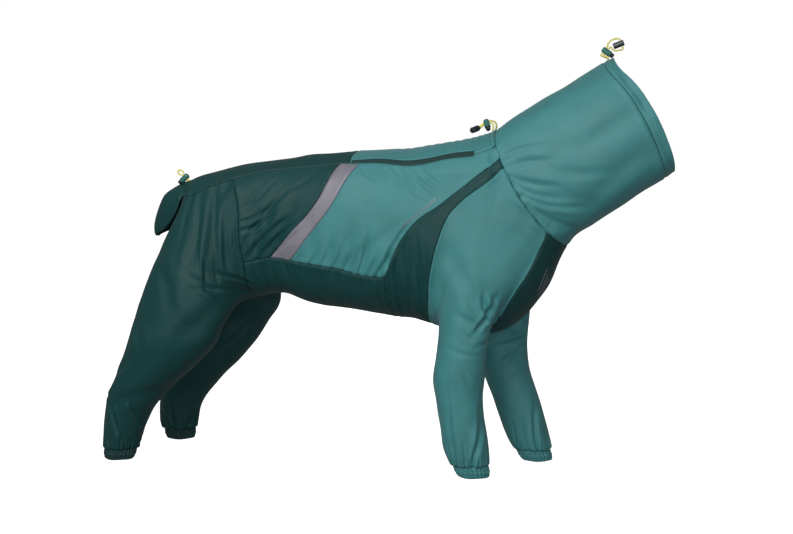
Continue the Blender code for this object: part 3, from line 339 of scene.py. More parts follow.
def body_out(station, round_, probe=0.5):
    """The outward direction of the body's surface, from differences along and round it."""
    station, round_ = np.broadcast_arrays(np.asarray(station, float), np.asarray(round_, float))
    last = STATIONS[-1]
    along = body(np.clip(station + probe, 0, last), round_) - body(np.clip(station - probe, 0, last), round_)
    around = body(station, round_ + probe) - body(station, round_ - probe)
    return unit(np.cross(around, along))


def seam(rows, steps, first=0, last=None):
    """Evenly spaced (station, round) places along the smooth curve through rows first to last."""
    rows = np.asarray(rows, float)
    gaps = np.linalg.norm(np.diff(rows, axis=0) * (1, ROUND_MM), axis=1)
    knots = np.concatenate([[0.0], np.cumsum(gaps)])
    last = len(rows) - 1 if last is None else last
    return smooth_rows(knots, rows, np.linspace(knots[first], knots[last], steps + 1))


def straight(start, end, steps):
    """Evenly spaced values on a straight line."""
    return np.linspace(start, end, steps + 1)


def joined(*runs):
    """Runs end to end, each shared place once."""
    return np.concatenate([runs[0]] + [run[1:] for run in runs[1:]])


def under(run):
    """Left-side places written past 180 degrees, so that a panel runs on under the body."""
    return np.stack([run[:, 0], 360 - run[:, 1]], axis=1)


def patch(left, right, top, bottom):
    """A grid of places between four seams: the sum of the two ruled surfaces less the one through
    the four corners."""
    down = np.linspace(0, 1, len(left))[:, None, None]
    over = np.linspace(0, 1, len(top))[None, :, None]
    sides = (1 - over) * left[:, None] + over * right[:, None]
    ends = (1 - down) * top[None] + down * bottom[None]
    upper = (1 - over) * top[0] + over * top[-1]
    lower = (1 - over) * bottom[0] + over * bottom[-1]
    return sides + ends - ((1 - down) * upper + down * lower)


def zip_run(start, end, steps):
    """Places along the zip seam, evenly spaced by station."""
    rows = np.asarray(ZIP_SEAM, float)
    station = np.linspace(start, end, steps + 1)
    return np.stack([station, smooth_rows(rows[:, 0], rows[:, 1:], station)[:, 0]], axis=1)


def thigh_seam(side):
    """The thigh's seam; on the left it bows forward between its ends."""
    rows = np.array(THIGH_SEAM, float)
    if side == LEFT:
        share = (rows[:, 1] - rows[0, 1]) / (rows[-1, 1] - rows[0, 1])
        rows[:, 0] += LEFT_THIGH_PULL * np.sin(np.pi * share)
    return rows


def seams(side):
    """Every stretch of seam on one side of the wearer, as runs of shared places."""
    places = {
        "zip over thigh": zip_run(0, THIGH_SEAM[0][0], STEPS["zip over thigh"]),
        "zip over flank": zip_run(THIGH_SEAM[0][0], STRIPE_REAR[0][0], STEPS["zip over flank"]),
        "zip over stripe": zip_run(STRIPE_REAR[0][0], STRIPE_FRONT[0][0], STEPS["stripe width"]),
        "zip over ribs": zip_run(STRIPE_FRONT[0][0], NECK, STEPS["zip over ribs"]),
        "thigh": seam(thigh_seam(side), STEPS["side height"], 0, ROW_OF["thigh at belly"]),
        "thigh under": seam(thigh_seam(side), STEPS["under side"], ROW_OF["thigh at belly"]),
        "stripe rear": seam(STRIPE_REAR, STEPS["side height"]),
        "stripe front": seam(STRIPE_FRONT, STEPS["side height"]),
        "belly rear": seam(BELLY_SEAM, STEPS["zip over flank"], 0, ROW_OF["belly at stripe rear"]),
        "belly stripe": seam(
            BELLY_SEAM, STEPS["stripe width"], ROW_OF["belly at stripe rear"], ROW_OF["belly at stripe front"]
        ),
        "belly front": seam(BELLY_SEAM, STEPS["zip over ribs"], ROW_OF["belly at stripe front"]),
        "band rear": seam(BAND_REAR, STEPS["side height"] - 1, 0, ROW_OF["band rear at belly"]),
        "band rear under": seam(BAND_REAR, STEPS["under side"], ROW_OF["band rear at belly"]),
        "band front": seam(BAND_FRONT, STEPS["band front"], 0, ROW_OF["band front at chest"]),
        "band front under": seam(BAND_FRONT, STEPS["band under"], ROW_OF["band front at chest"]),
        "chest edge": seam(CHEST_EDGE, STEPS["chest edge"]),
    }
    places["thigh"][0] = places["zip over thigh"][-1]
    places["stripe rear"][0] = places["zip over flank"][-1]
    places["stripe front"][0] = places["zip over stripe"][-1]
    places["belly rear"][:, 0] += (places["thigh"][-1] - places["belly rear"][0])[0] * np.linspace(
        1, 0, len(places["belly rear"])
    )
    places["band rear"][-1] = places["belly front"][-1]
    places["band rear under"][0] = places["belly front"][-1]
    places["chest edge"][-1] = places["band front"][-1]
    places["band front under"][0] = places["band front"][-1]
    return places


def finer(grid, closed=False, down=SEAM_FINE, across=SEAM_FINE):
    """A grid with more rows and columns between its own, on smooth curves through them. Neighbours
    that share an edge get the same points on it."""
    if closed:
        grid = np.concatenate([grid[:, -3:], grid, grid[:, :4]], axis=1)
    rows = np.arange(grid.shape[0])
    columns = np.arange(grid.shape[1])
    first, last = (3, grid.shape[1] - 4) if closed else (0, grid.shape[1] - 1)
    more_rows = np.linspace(0, rows[-1], rows[-1] * down + 1)
    more_columns = np.linspace(first, last, (last - first) * across + 1)
    grid = smooth_rows(rows, grid, more_rows)
    grid = smooth_rows(columns, grid.swapaxes(0, 1), more_columns).swapaxes(0, 1)
    return grid[:, :-1] if closed else grid


def grid_out(points, closed):
    """A grid's outward directions, from the cross product of its two lines."""
    along = np.gradient(points, axis=0)
    if closed:
        around = np.roll(points, -1, axis=1) - np.roll(points, 1, axis=1)
    else:
        around = np.gradient(points, axis=1)
    return unit(np.cross(around, along))


# ---------------------------------------------------------------------------------------------
# Folds
# ---------------------------------------------------------------------------------------------

# The larger folds, where the solids have theirs: troughs seen from the side.
FOLDS = [
    # start_x, start_z, end_x, end_z, width, depth
    (-115, -130, -118, -165, 9, 1.6), (-83, -133, -84, -173, 8, 1.6), (-52, -135, -55, -179, 8, 1.8),
    (-21, -135, -26, -181, 9, 1.8), (-64, -182, 23, -121, 11, 2.0), (-179, -81, -195, -128, 9, 2.0),
    (-151, -95, -178, -150, 9, 2.2), (-206, -119, -205, -176, 9, 1.8), (-304, -139, -303, -190, 10, 3.0),
    (-273, -107, -273, -199, 11, 3.2), (-248, -100, -252, -166, 9, 2.4), (-279, -190, -221, -239, 11, 2.6),
    (-252, -234, -323, -300, 14, 2.6), (34, -152, 36, -239, 9, 2.4), (57, -170, 66, -248, 9, 2.4),
    (-156, -186, -150, -224, 8, 2.0), (-77, -198, -74, -245, 8, 1.8), (26, -228, 31, -262, 8, 2.2),
    (162, -53, 224, -89, 9, 1.4), (179, -82, 248, -110, 9, 1.6), (114, -168, 167, -252, 12, 2.4),
    (140, -260, 178, -283, 9, 3.2), (180, -9, 275, -21, 9, 1.4), (197, -50, 319, -79, 11, 2.0),
    (220, -74, 282, -110, 9, 2.2), (242, -99, 294, -124, 8, 1.8), (-439, -404, -384, -388, 10, 2.4),
    (-430, -438, -422, -476, 8, 2.0), (138, -430, 144, -476, 8, 2.2),
]

# Finer creases drawn in the camera's frame (its pixels): the sideways place of the cloth they lie
# on, both ends, how far the line bows, and width and depth in mm.
NEAR, FAR_LEG = -90, 55
CREASES = [
    # plane, start_across, start_down, end_across, end_down, bow, width, depth
    # below the zip
    (NEAR, 361, 171, 378, 181, 1, 4.2, 1.3), (NEAR, 373, 171, 393, 184, 1, 4.2, 1.6),
    (NEAR, 384, 171, 405, 186, 1, 4.2, 1.7), (NEAR, 395, 172, 421, 192, 1, 4.4, 1.9),
    (NEAR, 405, 172, 430, 194, 1, 4.2, 1.6), (NEAR, 416, 172, 436, 188, 1, 4.2, 1.3),
    (NEAR, 428, 172, 444, 182, 1, 3.2, 0.7), (NEAR, 398, 184, 423, 201, 1, 4.0, 0.7),
    # above the belly seam
    (NEAR, 306, 266, 317, 252, 1, 3.6, 1.2), (NEAR, 318, 268, 327, 252, 1, 3.6, 1.1),
    (NEAR, 331, 269, 344, 243, 2, 4.2, 1.5), (NEAR, 341, 272, 350, 256, 1, 3.6, 1.1),
    (NEAR, 350, 273, 357, 254, 1, 4.0, 1.6), (NEAR, 358, 276, 368, 237, 2, 4.6, 1.8),
    (NEAR, 367, 277, 379, 252, 1, 4.2, 1.6), (NEAR, 374, 277, 393, 249, 2, 4.6, 1.9),
    (NEAR, 379, 273, 402, 234, 2, 5.0, 1.7), (NEAR, 386, 258, 415, 222, -2, 5.6, 1.2),
    # flank
    (NEAR, 240, 222, 260, 212, 2, 4.0, 1.3), (NEAR, 241, 231, 271, 214, 3, 4.4, 1.6),
    (NEAR, 243, 246, 280, 196, -3, 5.0, 1.8), (NEAR, 247, 257, 288, 218, -3, 5.0, 1.8),
    (NEAR, 258, 258, 297, 222, -2, 4.6, 1.5), (NEAR, 254, 198, 269, 184, 1, 4.0, 1.1),
    (NEAR, 243, 207, 261, 196, 1, 4.0, 1.1), (NEAR, 268, 259, 290, 238, 0, 4.0, 1.0),
    (NEAR, 286, 190, 306, 178, 1, 4.0, 0.7),
    # thigh
    (NEAR, 197, 204, 200, 262, -2, 7.0, 1.7), (NEAR, 211, 193, 215, 243, -1, 7.0, 1.8),
    (NEAR, 225, 218, 228, 268, 0, 5.0, 1.8), (NEAR, 210, 262, 212, 287, 0, 3.6, 1.5),
    (NEAR, 218, 240, 221, 281, 0, 4.0, 1.4), (NEAR, 203, 246, 205, 272, 0, 3.6, 1.1),
    (NEAR, 234, 228, 238, 262, 1, 4.0, 1.3), (NEAR, 188, 190, 184, 240, 2, 7.0, 1.2),
    (NEAR, 248, 289, 222, 274, 2, 4.2, 1.7), (NEAR, 247, 297, 204, 287, 3, 4.8, 1.8),
    (NEAR, 247, 293, 228, 284, 1, 3.8, 1.2), (NEAR, 197, 275, 229, 313, -6, 7.0, 2.2),
    (NEAR, 244, 303, 230, 319, 1, 5.0, 1.2), (NEAR, 160, 262, 178, 300, -4, 12.0, 1.4),
    # belly
    (NEAR, 248, 267, 252, 294, 0, 3.6, 1.4), (NEAR, 256, 266, 261, 292, 0, 3.8, 1.3),
    (NEAR, 267, 263, 272, 290, 0, 3.6, 1.2), (NEAR, 281, 264, 287, 290, 0, 4.0, 1.2),
    (NEAR, 297, 268, 292, 288, 0, 4.0, 1.2), (NEAR, 386, 283, 389, 312, 1, 3.6, 1.5),
    (NEAR, 377, 284, 380, 310, 1, 3.8, 1.2), (NEAR, 315, 273, 318, 300, 1, 5.0, 0.8),
    (NEAR, 346, 278, 349, 306, 1, 5.0, 0.8),
    # chest band
    (NEAR, 391, 248, 388, 304, 2, 4.2, 1.8), (NEAR, 400, 244, 397, 312, 2, 4.4, 2.0),
    (NEAR, 411, 256, 407, 316, 1, 4.4, 2.0), (NEAR, 418, 238, 421, 317, -1, 4.0, 1.7),
    (NEAR, 427, 250, 426, 322, 0, 3.4, 1.4), (NEAR, 406, 230, 403, 262, 1, 4.0, 1.3),
    # sleeve below the neck seam
    (NEAR, 494, 183, 526, 199, 1, 4.2, 1.7), (NEAR, 495, 175, 523, 188, 1, 4.2, 1.3),
    (NEAR, 500, 197, 550, 231, 2, 4.8, 1.6), (NEAR, 507, 214, 546, 238, 1, 5.0, 1.3),
    # elbow
    (NEAR, 485, 293, 497, 326, 3, 5.0, 2.8), (NEAR, 461, 314, 477, 321, 1, 4.0, 1.5),
    (NEAR, 480, 345, 496, 337, 1, 4.0, 2.2), (NEAR, 455, 348, 475, 354, 1, 4.2, 1.3),
    (NEAR, 470, 300, 483, 319, 1, 4.2, 1.4), (NEAR, 476, 332, 489, 315, 1, 4.4, 1.6),
    (NEAR, 464, 330, 481, 340, 1, 4.0, 1.2), (NEAR, 441, 290, 433, 330, 1, 6.0, 1.2),
    (NEAR, 486, 286, 497, 300, 1, 5.0, 2.4), (NEAR, 495, 300, 482, 326, -2, 5.0, 2.4),
    # lower front leg
    (NEAR, 481, 408, 474, 464, -3, 4.4, 2.6), (NEAR, 452, 396, 454, 441, 1, 5.0, 1.2),
    (NEAR, 467, 372, 480, 394, 2, 4.2, 1.3), (NEAR, 456, 446, 459, 471, 0, 2.8, 1.6),
    (NEAR, 466, 444, 467, 471, 0, 2.8, 1.4), (NEAR, 449, 440, 454, 466, 0, 2.8, 1.2),
    (FAR_LEG, 527, 340, 511, 365, 2, 4.0, 1.9), (FAR_LEG, 497, 341, 524, 334, 1, 4.0, 1.9),
    (FAR_LEG, 535, 406, 539, 453, 1, 4.0, 2.0), (FAR_LEG, 511, 378, 529, 366, 1, 4.0, 1.2),
    (FAR_LEG, 524, 418, 528, 455, 0, 3.4, 1.6), (FAR_LEG, 503, 356, 517, 344, 1, 4.0, 1.2),
    (FAR_LEG, 545, 432, 547, 455, 0, 3.0, 1.4), (FAR_LEG, 514, 424, 519, 450, 0, 3.2, 1.2),
    # hood
    (-60, 503, 171, 548, 160, -3, 5.0, 1.5), (-60, 508, 176, 557, 185, 2, 5.0, 1.6),
    (-60, 515, 186, 557, 199, 2, 5.0, 1.8), (-60, 522, 195, 579, 208, 3, 5.2, 1.9),
    (-60, 531, 206, 570, 229, 2, 5.0, 1.7), (-60, 541, 218, 565, 232, 1, 4.2, 1.4),
    (-60, 499, 158, 541, 146, -2, 6.0, 1.3), (-60, 560, 241, 599, 217, 2, 6.0, 1.2),
    (-60, 545, 168, 600, 172, 3, 9.0, 1.2), (-60, 565, 150, 640, 108, 4, 16.0, 1.5),
    (-60, 592, 202, 652, 150, -5, 18.0, 1.8), (-60, 530, 130, 590, 92, 3, 14.0, 1.0),
    (-60, 617, 66, 640, 100, 2, 6.0, 0.9), (-60, 640, 100, 664, 150, 2, 7.0, 0.9),
    # hocks and ankles
    (NEAR, 129, 365, 108, 390, 2, 6.0, 2.2), (NEAR, 108, 393, 121, 428, -3, 4.6, 1.9),
    (NEAR, 136, 402, 144, 429, 1, 4.0, 1.7), (NEAR, 122, 420, 128, 453, 0, 3.6, 1.3),
    (NEAR, 112, 431, 115, 459, 0, 3.2, 1.4), (NEAR, 138, 318, 150, 350, -4, 10.0, 1.2),
    (NEAR, 132, 436, 130, 456, 0, 2.8, 1.2), (NEAR, 106, 440, 107, 459, 0, 2.8, 1.0),
    (FAR_LEG, 163, 414, 179, 432, 2, 4.0, 1.7), (FAR_LEG, 187, 426, 197, 402, 1, 4.0, 1.7),
    (FAR_LEG, 172, 399, 176, 431, 0, 4.0, 1.2), (FAR_LEG, 225, 346, 246, 326, 2, 6.0, 1.4),
    (FAR_LEG, 262, 300, 246, 330, 2, 6.0, 1.2),
]
# Slow unevenness of all the cloth: waves as (x, y, z) turns in a metre, start and depth.
SWELLS = [
    (9.0, 5.0, 4.0, 0.3, 0.50), (-6.0, 7.0, 9.5, 1.9, 0.45), (14.0, -8.0, 11.0, 4.1, 0.26),
    (-17.0, 12.0, 13.0, 2.6, 0.18), (23.0, 10.0, -19.0, 5.2, 0.12), (-12.0, -26.0, 21.0, 0.9, 0.10),
]
# Short gathers over the back: station, half width and depth.
GATHER_LEAN, GATHER_TURN = 0.22, 34  # mm a degree of turn, and the turn over which gathers fade
BACK_GATHERS = [
    (392, 4, 0.7), (408, 4, 0.9), (427, 4, 0.7), (446, 4, 1.0), (463, 4, 0.8), (486, 4, 1.0), (503, 4, 1.2),
    (524, 4, 0.9), (541, 4, 1.1), (560, 4, 1.2), (578, 4, 0.9), (598, 4, 1.2), (612, 4, 1.0),
]


def seen_at(across, down, sideways):
    """The (x, z) where the camera's ray through a pixel meets the upright plane y = sideways."""
    back, right, up = view_axes()
    sideward = (across - PHOTO_WIDTH / 2) / FOCAL_PIXELS * right
    ray = sideward - (down - PHOTO_HEIGHT / 2) / FOCAL_PIXELS * up - back
    eye = np.array(VIEW_TARGET) + back * VIEW_DISTANCE
    point = eye + ray * (sideways * MM - eye[1]) / ray[1]
    return point[[0, 2]] / MM


def trough(points, out, side, start, end, bow, width, depth):
    """One crease: a soft trough along a bowed line in the side view with a lower ridge on both sides,
    fading past its ends and where the cloth turns away from that side."""
    line = end - start
    length = np.linalg.norm(line)
    offset = points[..., [0, 2]] - start
    along = offset @ line / length**2
    beyond = np.maximum(np.maximum(-along, along - 1), 0) * length
    held = np.clip(along, 0, 1)
    across = ((offset @ np.array([line[1], -line[0]])) / length - bow * 4 * held * (1 - held)) / width
    facing = np.clip(-side * out[..., 1] * 1.6, 0, 1)
    fade = np.exp(-((beyond / (2.5 * width)) ** 2)) * (0.35 + 0.65 * np.sin(np.pi * (0.1 + 0.8 * held)))
    ridges = np.exp(-((across - RIDGE_PLACE) ** 2) * RIDGE_SHARP)
    ridges = ridges + np.exp(-((across + RIDGE_PLACE) ** 2) * RIDGE_SHARP)
    return depth * facing * fade * (np.exp(-(across**2)) - RIDGE_HIGH * ridges)


def pushed_in(points, out):
    """How far every crease together pushes the cloth in; the wearer's left side has the same creases a
    little further back."""
    depth = np.zeros(points.shape[:-1])
    for x, y, z, start, high in SWELLS:
        depth += high * np.sin(2 * np.pi * MM * (points @ np.array([x, y, z])) + start)
    for side, shift, share in ((RIGHT, 0.0, 1.0), (LEFT, FAR_FOLD_SHIFT, FAR_FOLD_SHARE)):
        if np.all(-side * out[..., 1] < 0.02):
            continue
        for x0, z0, x1, z1, width, high in FOLDS:
            ends = np.array([x0 + shift, z0]), np.array([x1 + shift, z1])
            depth += share * trough(points, out, side, *ends, 0.0, width, high)
        for plane, x0, y0, x1, y1, bow, width, high in CREASES:
            start, end = seen_at(x0, y0, plane) + (shift, 0), seen_at(x1, y1, plane) + (shift, 0)
            near = np.clip(1.6 - np.abs(points[..., 1] - side * plane) / PLANE_REACH, 0, 1)
            sizes = width * CREASE_WIDE, high * CREASE_DEEP
            depth += share * near * trough(points, out, side, start, end, bow * PIXEL_MM, *sizes)
    return depth


def gathered_back(station, round_):
    """Short puckers over the ridge of the back: a bell across each gather's station, leaning with the
    turn, fading down both sides."""
    depth = np.zeros(station.shape)
    for place, half, high in BACK_GATHERS:
        lean = station - place - GATHER_LEAN * np.abs(round_)
        depth += high * np.exp(-((lean / half) ** 2)) * np.exp(-((round_ / GATHER_TURN) ** 2))
    return depth


# ---------------------------------------------------------------------------------------------
# Cloth
# ---------------------------------------------------------------------------------------------


def edge_distances(points, edges):
    """For each point the distance in mm from the nearest sewn edge, and the distance along that edge;
    both are summed along the grid's own lines."""
    rows = np.linalg.norm(np.diff(points, axis=0), axis=-1)
    columns = np.linalg.norm(np.diff(points, axis=1), axis=-1)
    down = np.concatenate([np.zeros((1, points.shape[1])), np.cumsum(rows, axis=0)])
    over = np.concatenate([np.zeros((points.shape[0], 1)), np.cumsum(columns, axis=1)], axis=1)
    choices = {
        "start": (down, over[:1] + 0 * over), "end": (down[-1:] - down, over[-1:] + 0 * over),
        "left": (over, down), "right": (over[:, -1:] - over, down),
    }
    near = np.full(down.shape, UNSEWN)
    along = np.zeros(down.shape)
    for edge in edges:
        away, run = choices[edge]
        along = np.where(away < near, run, along)
        near = np.minimum(near, away)
    return over, down, near, along


def grid_faces(rows, columns, closed):
    """Quads of a grid as vertex numbers and, for the maps, as (row, column) places that count on past
    the last column of a closed grid."""
    wide = columns if closed else columns - 1
    row, column = np.meshgrid(np.arange(rows - 1), np.arange(wide), indexing="ij")
    row = np.stack([row, row + 1, row + 1, row], axis=-1).reshape(-1, 4)
    column = np.stack([column, column, column + 1, column + 1], axis=-1).reshape(-1, 4)
    return row * columns + column % columns, row, column


def surface(name, points, out, material, maps=(), closed=False, thick=0.0):
    """A grid of points in mm as a smooth mesh whose faces look along out, with UV maps in metres, and
    its wall inside it."""
    rows, columns = points.shape[:2]
    faces, row, column = grid_faces(rows, columns, closed)
    flat = points.reshape(-1, 3)
    corner = flat[faces]
    normals = np.cross(corner[:, 1] - corner[:, 0], corner[:, 3] - corner[:, 0])
    if (normals * out.reshape(-1, 3)[faces[:, 0]]).sum() < 0:
        faces, row, column = faces[:, ::-1], row[:, ::-1], column[:, ::-1]
    mesh = bpy.data.meshes.new(name)
    mesh.from_pydata((flat * MM).tolist(), [], faces.tolist())
    mesh.shade_smooth()
    for label, across, along in maps:
        if closed:
            step = across[:, :1] + np.linalg.norm(points[:, :1] - points[:, -1:], axis=-1)
            across = np.concatenate([across, across[:, -1:] + step], axis=1)
            along = np.concatenate([along, along[:, :1]], axis=1)
        uv = np.stack([across[row, column], along[row, column]], axis=-1) * MM
        mesh.uv_layers.new(name=label).data.foreach_set("uv", uv.ravel())
    return dressed(name, mesh, material, thick)


def dressed(name, mesh, material, thick=0.0):
    """The mesh as a piece that rides on the suit, in the finish it is given."""
    item = bpy.data.objects.new(name, mesh)
    bpy.context.scene.collection.objects.link(item)
    mesh.materials.append(material)
    if thick:
        wall = item.modifiers.new("wall", "SOLIDIFY")
        wall.thickness = thick * MM
        wall.offset = -1
    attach(item, "suit")
    return item


def cloth(name, points, out, material, closed=False, edges=ALL_EDGES, held="stretched", extra=0.0):
    """A thin cloth piece from its outer grid: pinched down at its sewn edges with a soft roll beside
    them, and creased by the folds. It stands for the solid of the same name."""
    over, down, near, along = edge_distances(points, edges)
    lift = -PINCH * np.exp(-((near / PINCH_WIDE) ** 2))
    lift = lift + PUFF * np.exp(-(((near - PUFF_PLACE) / PUFF_WIDE) ** 2))
    face = points + (lift - pushed_in(points, out) - extra)[..., None] * out
    maps = (("cut", over, down), ("sewn", along, near))
    item = surface("cloth_" + name, face, out, material, maps, closed, CLOTH_THICK)
    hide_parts(name)
    around = np.linalg.norm(np.diff(face, axis=1), axis=-1).sum(axis=1)
    if closed:
        around = around + np.linalg.norm(face[:, -1] - face[:, 0], axis=-1)
    ring = np.concatenate([face, face[:, :1]], axis=1) if closed else face
    diagonals = ring[1:, 1:] - ring[:-1, :-1], ring[1:, :-1] - ring[:-1, 1:]
    return item


def panel(name, places, material, gathers=False, **more):
    """A body panel: the finer grid between its seams, laid on the body."""
    fine = finer(places, False, PANEL_FINE, PANEL_FINE)
    station, round_ = fine[..., 0], fine[..., 1]
    extra = gathered_back(station, round_) if gathers else 0.0
    return cloth(name, body(station, round_), body_out(station, round_), material, extra=extra, **more)


def skin(station, round_, lift):
    """A point of the creased cloth of the body, lifted off it by so many mm, and its outward direction."""
    points, out = body(station, round_), body_out(station, round_)
    return points + (lift - pushed_in(points, out))[..., None] * out, out


# ---------------------------------------------------------------------------------------------
# The pieces
# ---------------------------------------------------------------------------------------------


def make_panels(right, left, finish):
    """The side panels, each a patch between its four seams, and the back, from zip seam to mirrored seam."""
    for run, side, word in ((right, RIGHT, "right"), (left, LEFT, "left")):
        zip_end = run["zip over ribs"][-1]
        band_side = joined(straight(zip_end, run["band rear"][0], 1), run["band rear"])
        dark = patch(run["thigh"], run["stripe rear"], run["zip over flank"], run["belly rear"])
        stripe = patch(run["stripe rear"], run["stripe front"], run["zip over stripe"], run["belly stripe"])
        light = patch(run["stripe front"], band_side, run["zip over ribs"], run["belly front"])
        panel(f"side_dark_{word}", dark * (1, side), finish["dark_green_cloth"])
        panel(f"stripe_{word}", stripe * (1, side), finish["reflective_tape"], edges=("left", "right"))
        panel(f"side_light_{word}", light * (1, side), finish["light_teal_cloth"])

    thigh, stripe = THIGH_SEAM[0][0], STRIPE_REAR[0][0]
    rear = joined(
        zip_run(0, thigh, STEPS["zip over thigh"]), zip_run(thigh, stripe, STEPS["zip over flank"]),
        zip_run(stripe, BACK_SPLIT, 1),
    )
    front = joined(
        zip_run(BACK_SPLIT, STRIPE_FRONT[0][0], 1), zip_run(STRIPE_FRONT[0][0], NECK, STEPS["zip over ribs"])
    )
    over = np.linspace(-1, 1, STEPS["across back"] + 1)
    for name, edge, material in (
        ("back_rear", rear, finish["dark_green_cloth"]), ("back_front", front, finish["light_teal_cloth"]),
    ):
        station = np.repeat(edge[:, :1], len(over), axis=1)
        panel(name, np.stack([station, edge[:, 1:] * over], axis=-1), material, gathers=True)
    make_under_panels(right, left, finish["dark_green_cloth"])


def make_under_panels(right, left, material):
    """The belly, the band behind the front legs and the chest, each from side to side under the body."""

    def round_under(*names):
        ahead = joined(*[right[name] for name in names])
        back = joined(*[left[name] for name in names])
        return joined(ahead, under(back)[::-1])

    belly_right = joined(right["belly rear"], right["belly stripe"], right["belly front"])
    belly_left = joined(left["belly rear"], left["belly stripe"], left["belly front"])
    rear_end = round_under("thigh under")
    panel("belly", patch(rear_end, round_under("band rear under"), belly_right, under(belly_left)), material)
    rear_edge = round_under("band rear", "band rear under")
    front_edge = round_under("band front", "band front under")
    ends = [straight(rear_edge[k], front_edge[k], STEPS["band width"]) for k in (0, -1)]
    panel("chest_band", patch(rear_edge, front_edge, *ends), material)
    low = round_under("band front under")
    edge = right["chest edge"]
    panel("chest", patch(edge, under(edge), straight(edge[0], under(edge)[0], len(low) - 1), low), material)


def make_hood(right, material):
    """The hood from the neck seam to its hem, whose stitched channel holds the drawcord; the hem is
    drawn in on both sides of its top."""
    zip_end, band_rear, band_front = (
        right[name][k, 1] for name, k in (("zip over ribs", -1), ("band rear", 0), ("band front", 0))
    )
    chest = right["chest edge"][0, 1]
    corners = [0, zip_end, band_rear, band_front, chest, 180]
    steps = [STEPS["across back"] // 2, 1, STEPS["band width"], STEPS["neck over leg"], STEPS["band under"]]
    half = joined(*[straight(a, b, n * SEAM_FINE) for a, b, n in zip(corners[:-1], corners[1:], steps)])
    round_ = np.concatenate([half, 360 - half[-2:0:-1]])
    for name, start, end, steps, edges in (
        ("hood", NECK, MOUTH - HEM, STEPS["hood length"] * PANEL_FINE, ("start", "end")),
        ("hood_hem", MOUTH - HEM, MOUTH, HEM_STEPS, ("start",)),
    ):
        station, turn = np.meshgrid(np.linspace(start, end, steps + 1), round_, indexing="ij")
        from_top = np.abs((turn + 180) % 360 - 180)
        dip = RIM_DIP * np.exp(-(((from_top - RIM_DIP_TURN) / RIM_DIP_WIDTH) ** 2))
        station = station - dip * ((station - NECK) / (MOUTH - NECK)) ** 2
        share = (station - NECK) / (MOUTH - NECK)
        drawn = 0.5 * np.sin(np.radians(turn) * 46 + 3 * np.sin(np.radians(turn) * 5)) * share**10
        drawn = drawn * np.exp(-((from_top / 60) ** 2))
        extra = gathered_neck(station, from_top) + drawn
        cloth(name, body(station, turn), body_out(station, turn), material, True, edges, "stretched", extra)


def gathered_neck(station, from_top):
    """Puckers that start at the neck seam and fade into the hood: uneven waves round it."""
    round_ = np.radians(from_top)
    wave = np.sin(31 * round_ + 2.1 * np.sin(4 * round_)) + 0.6 * np.sin(53 * round_ + 1.7)
    return 0.35 * wave * np.exp(-((station - NECK) / 16) ** 2)


def opening_inward(opening):
    """At each place of a leg's opening, the direction along the body and square to the seam that
    points into the opening, evened out round it."""
    points = body(opening[:, 0], opening[:, 1])
    out = body_out(opening[:, 0], opening[:, 1])
    ahead = unit(np.roll(points, -1, axis=0) - points)
    behind = unit(points - np.roll(points, 1, axis=0))
    inward = unit(np.cross(out, ahead) + np.cross(out, behind))
    for _ in range(INWARD_PASSES):
        inward = unit(np.roll(inward, 1, axis=0) + 2 * inward + np.roll(inward, -1, axis=0))
    return inward


def leg_grid(side, opening, turns, rings, inward, run_on, puff):
    """The outer grid of a leg: its opening in the body, a smooth bridge whose start runs on along the
    body and whose end runs down the tube, and the rings of the tube. The bridge is evened out, then
    stands out on one side by a squared sine of its length."""
    start = body(opening[:, 0], opening[:, 1])
    out = body_out(opening[:, 0], opening[:, 1])
    rings = np.asarray(rings, float)
    turns = np.radians(turns)

    def tube(z):
        row = smooth_rows(-rings[:, 0], rings[:, 1:], -np.atleast_1d(z))[:, None, :]
        x = row[..., 0] + row[..., 2] * np.cos(turns)
        y = -side * (row[..., 1] + row[..., 3] * np.sin(turns))
        return np.stack([x, y, np.broadcast_to(np.atleast_1d(z)[:, None], x.shape)], axis=-1)

    ring = tube(rings[0, 0])[0]
    reach = ring - start
    length = np.linalg.norm(reach, axis=-1, keepdims=True)
    level = reach - (reach * out).sum(axis=-1, keepdims=True) * out
    lead = unit(unit(level) + LOFT_SQUARE * inward) * length * run_on
    drop = unit(ring - tube(rings[0, 0] + 1.0)[0]) * length * LOFT_DROP
    t = np.linspace(0, 1, LOFT_ROWS + 1)[:-1, None, None]
    bridge = (
        (1 + 2 * t) * (1 - t) ** 2 * start
        + t * (1 - t) ** 2 * lead
        + t * t * (3 - 2 * t) * ring
        + t * t * (t - 1) * drop
    )
    grid = np.concatenate([bridge, tube(rings[:, 0])])
    for _ in range(LOFT_PASSES):
        around = (np.roll(grid, 1, axis=1) + np.roll(grid, -1, axis=1)) / 2
        along = (grid[:-2] + grid[2:]) / 2
        grid[1:LOFT_ROWS + 1] = ((grid[1:-1] * 2 + around[1:-1] + along) / 4)[:LOFT_ROWS]
    puff_turn, puff_out = puff
    share = np.sin(np.linspace(0, np.pi, LOFT_ROWS + 2)[1:-1, None]) ** 2
    share = share * np.clip(np.cos(turns - np.radians(puff_turn)), 0, 1) ** 2
    level_out = np.stack([np.cos(turns), -side * np.sin(turns), np.zeros_like(turns)], axis=-1)
    grid[1:LOFT_ROWS + 1] += puff_out * share[..., None] * level_out
    return grid, out


def turns_between(corners, sizes):
    """Turns round a leg's tube: evenly spaced between each two corners."""
    runs = [np.linspace(a, b, n, endpoint=False) for a, b, n in zip(corners[:-1], corners[1:], sizes)]
    return np.concatenate(runs)


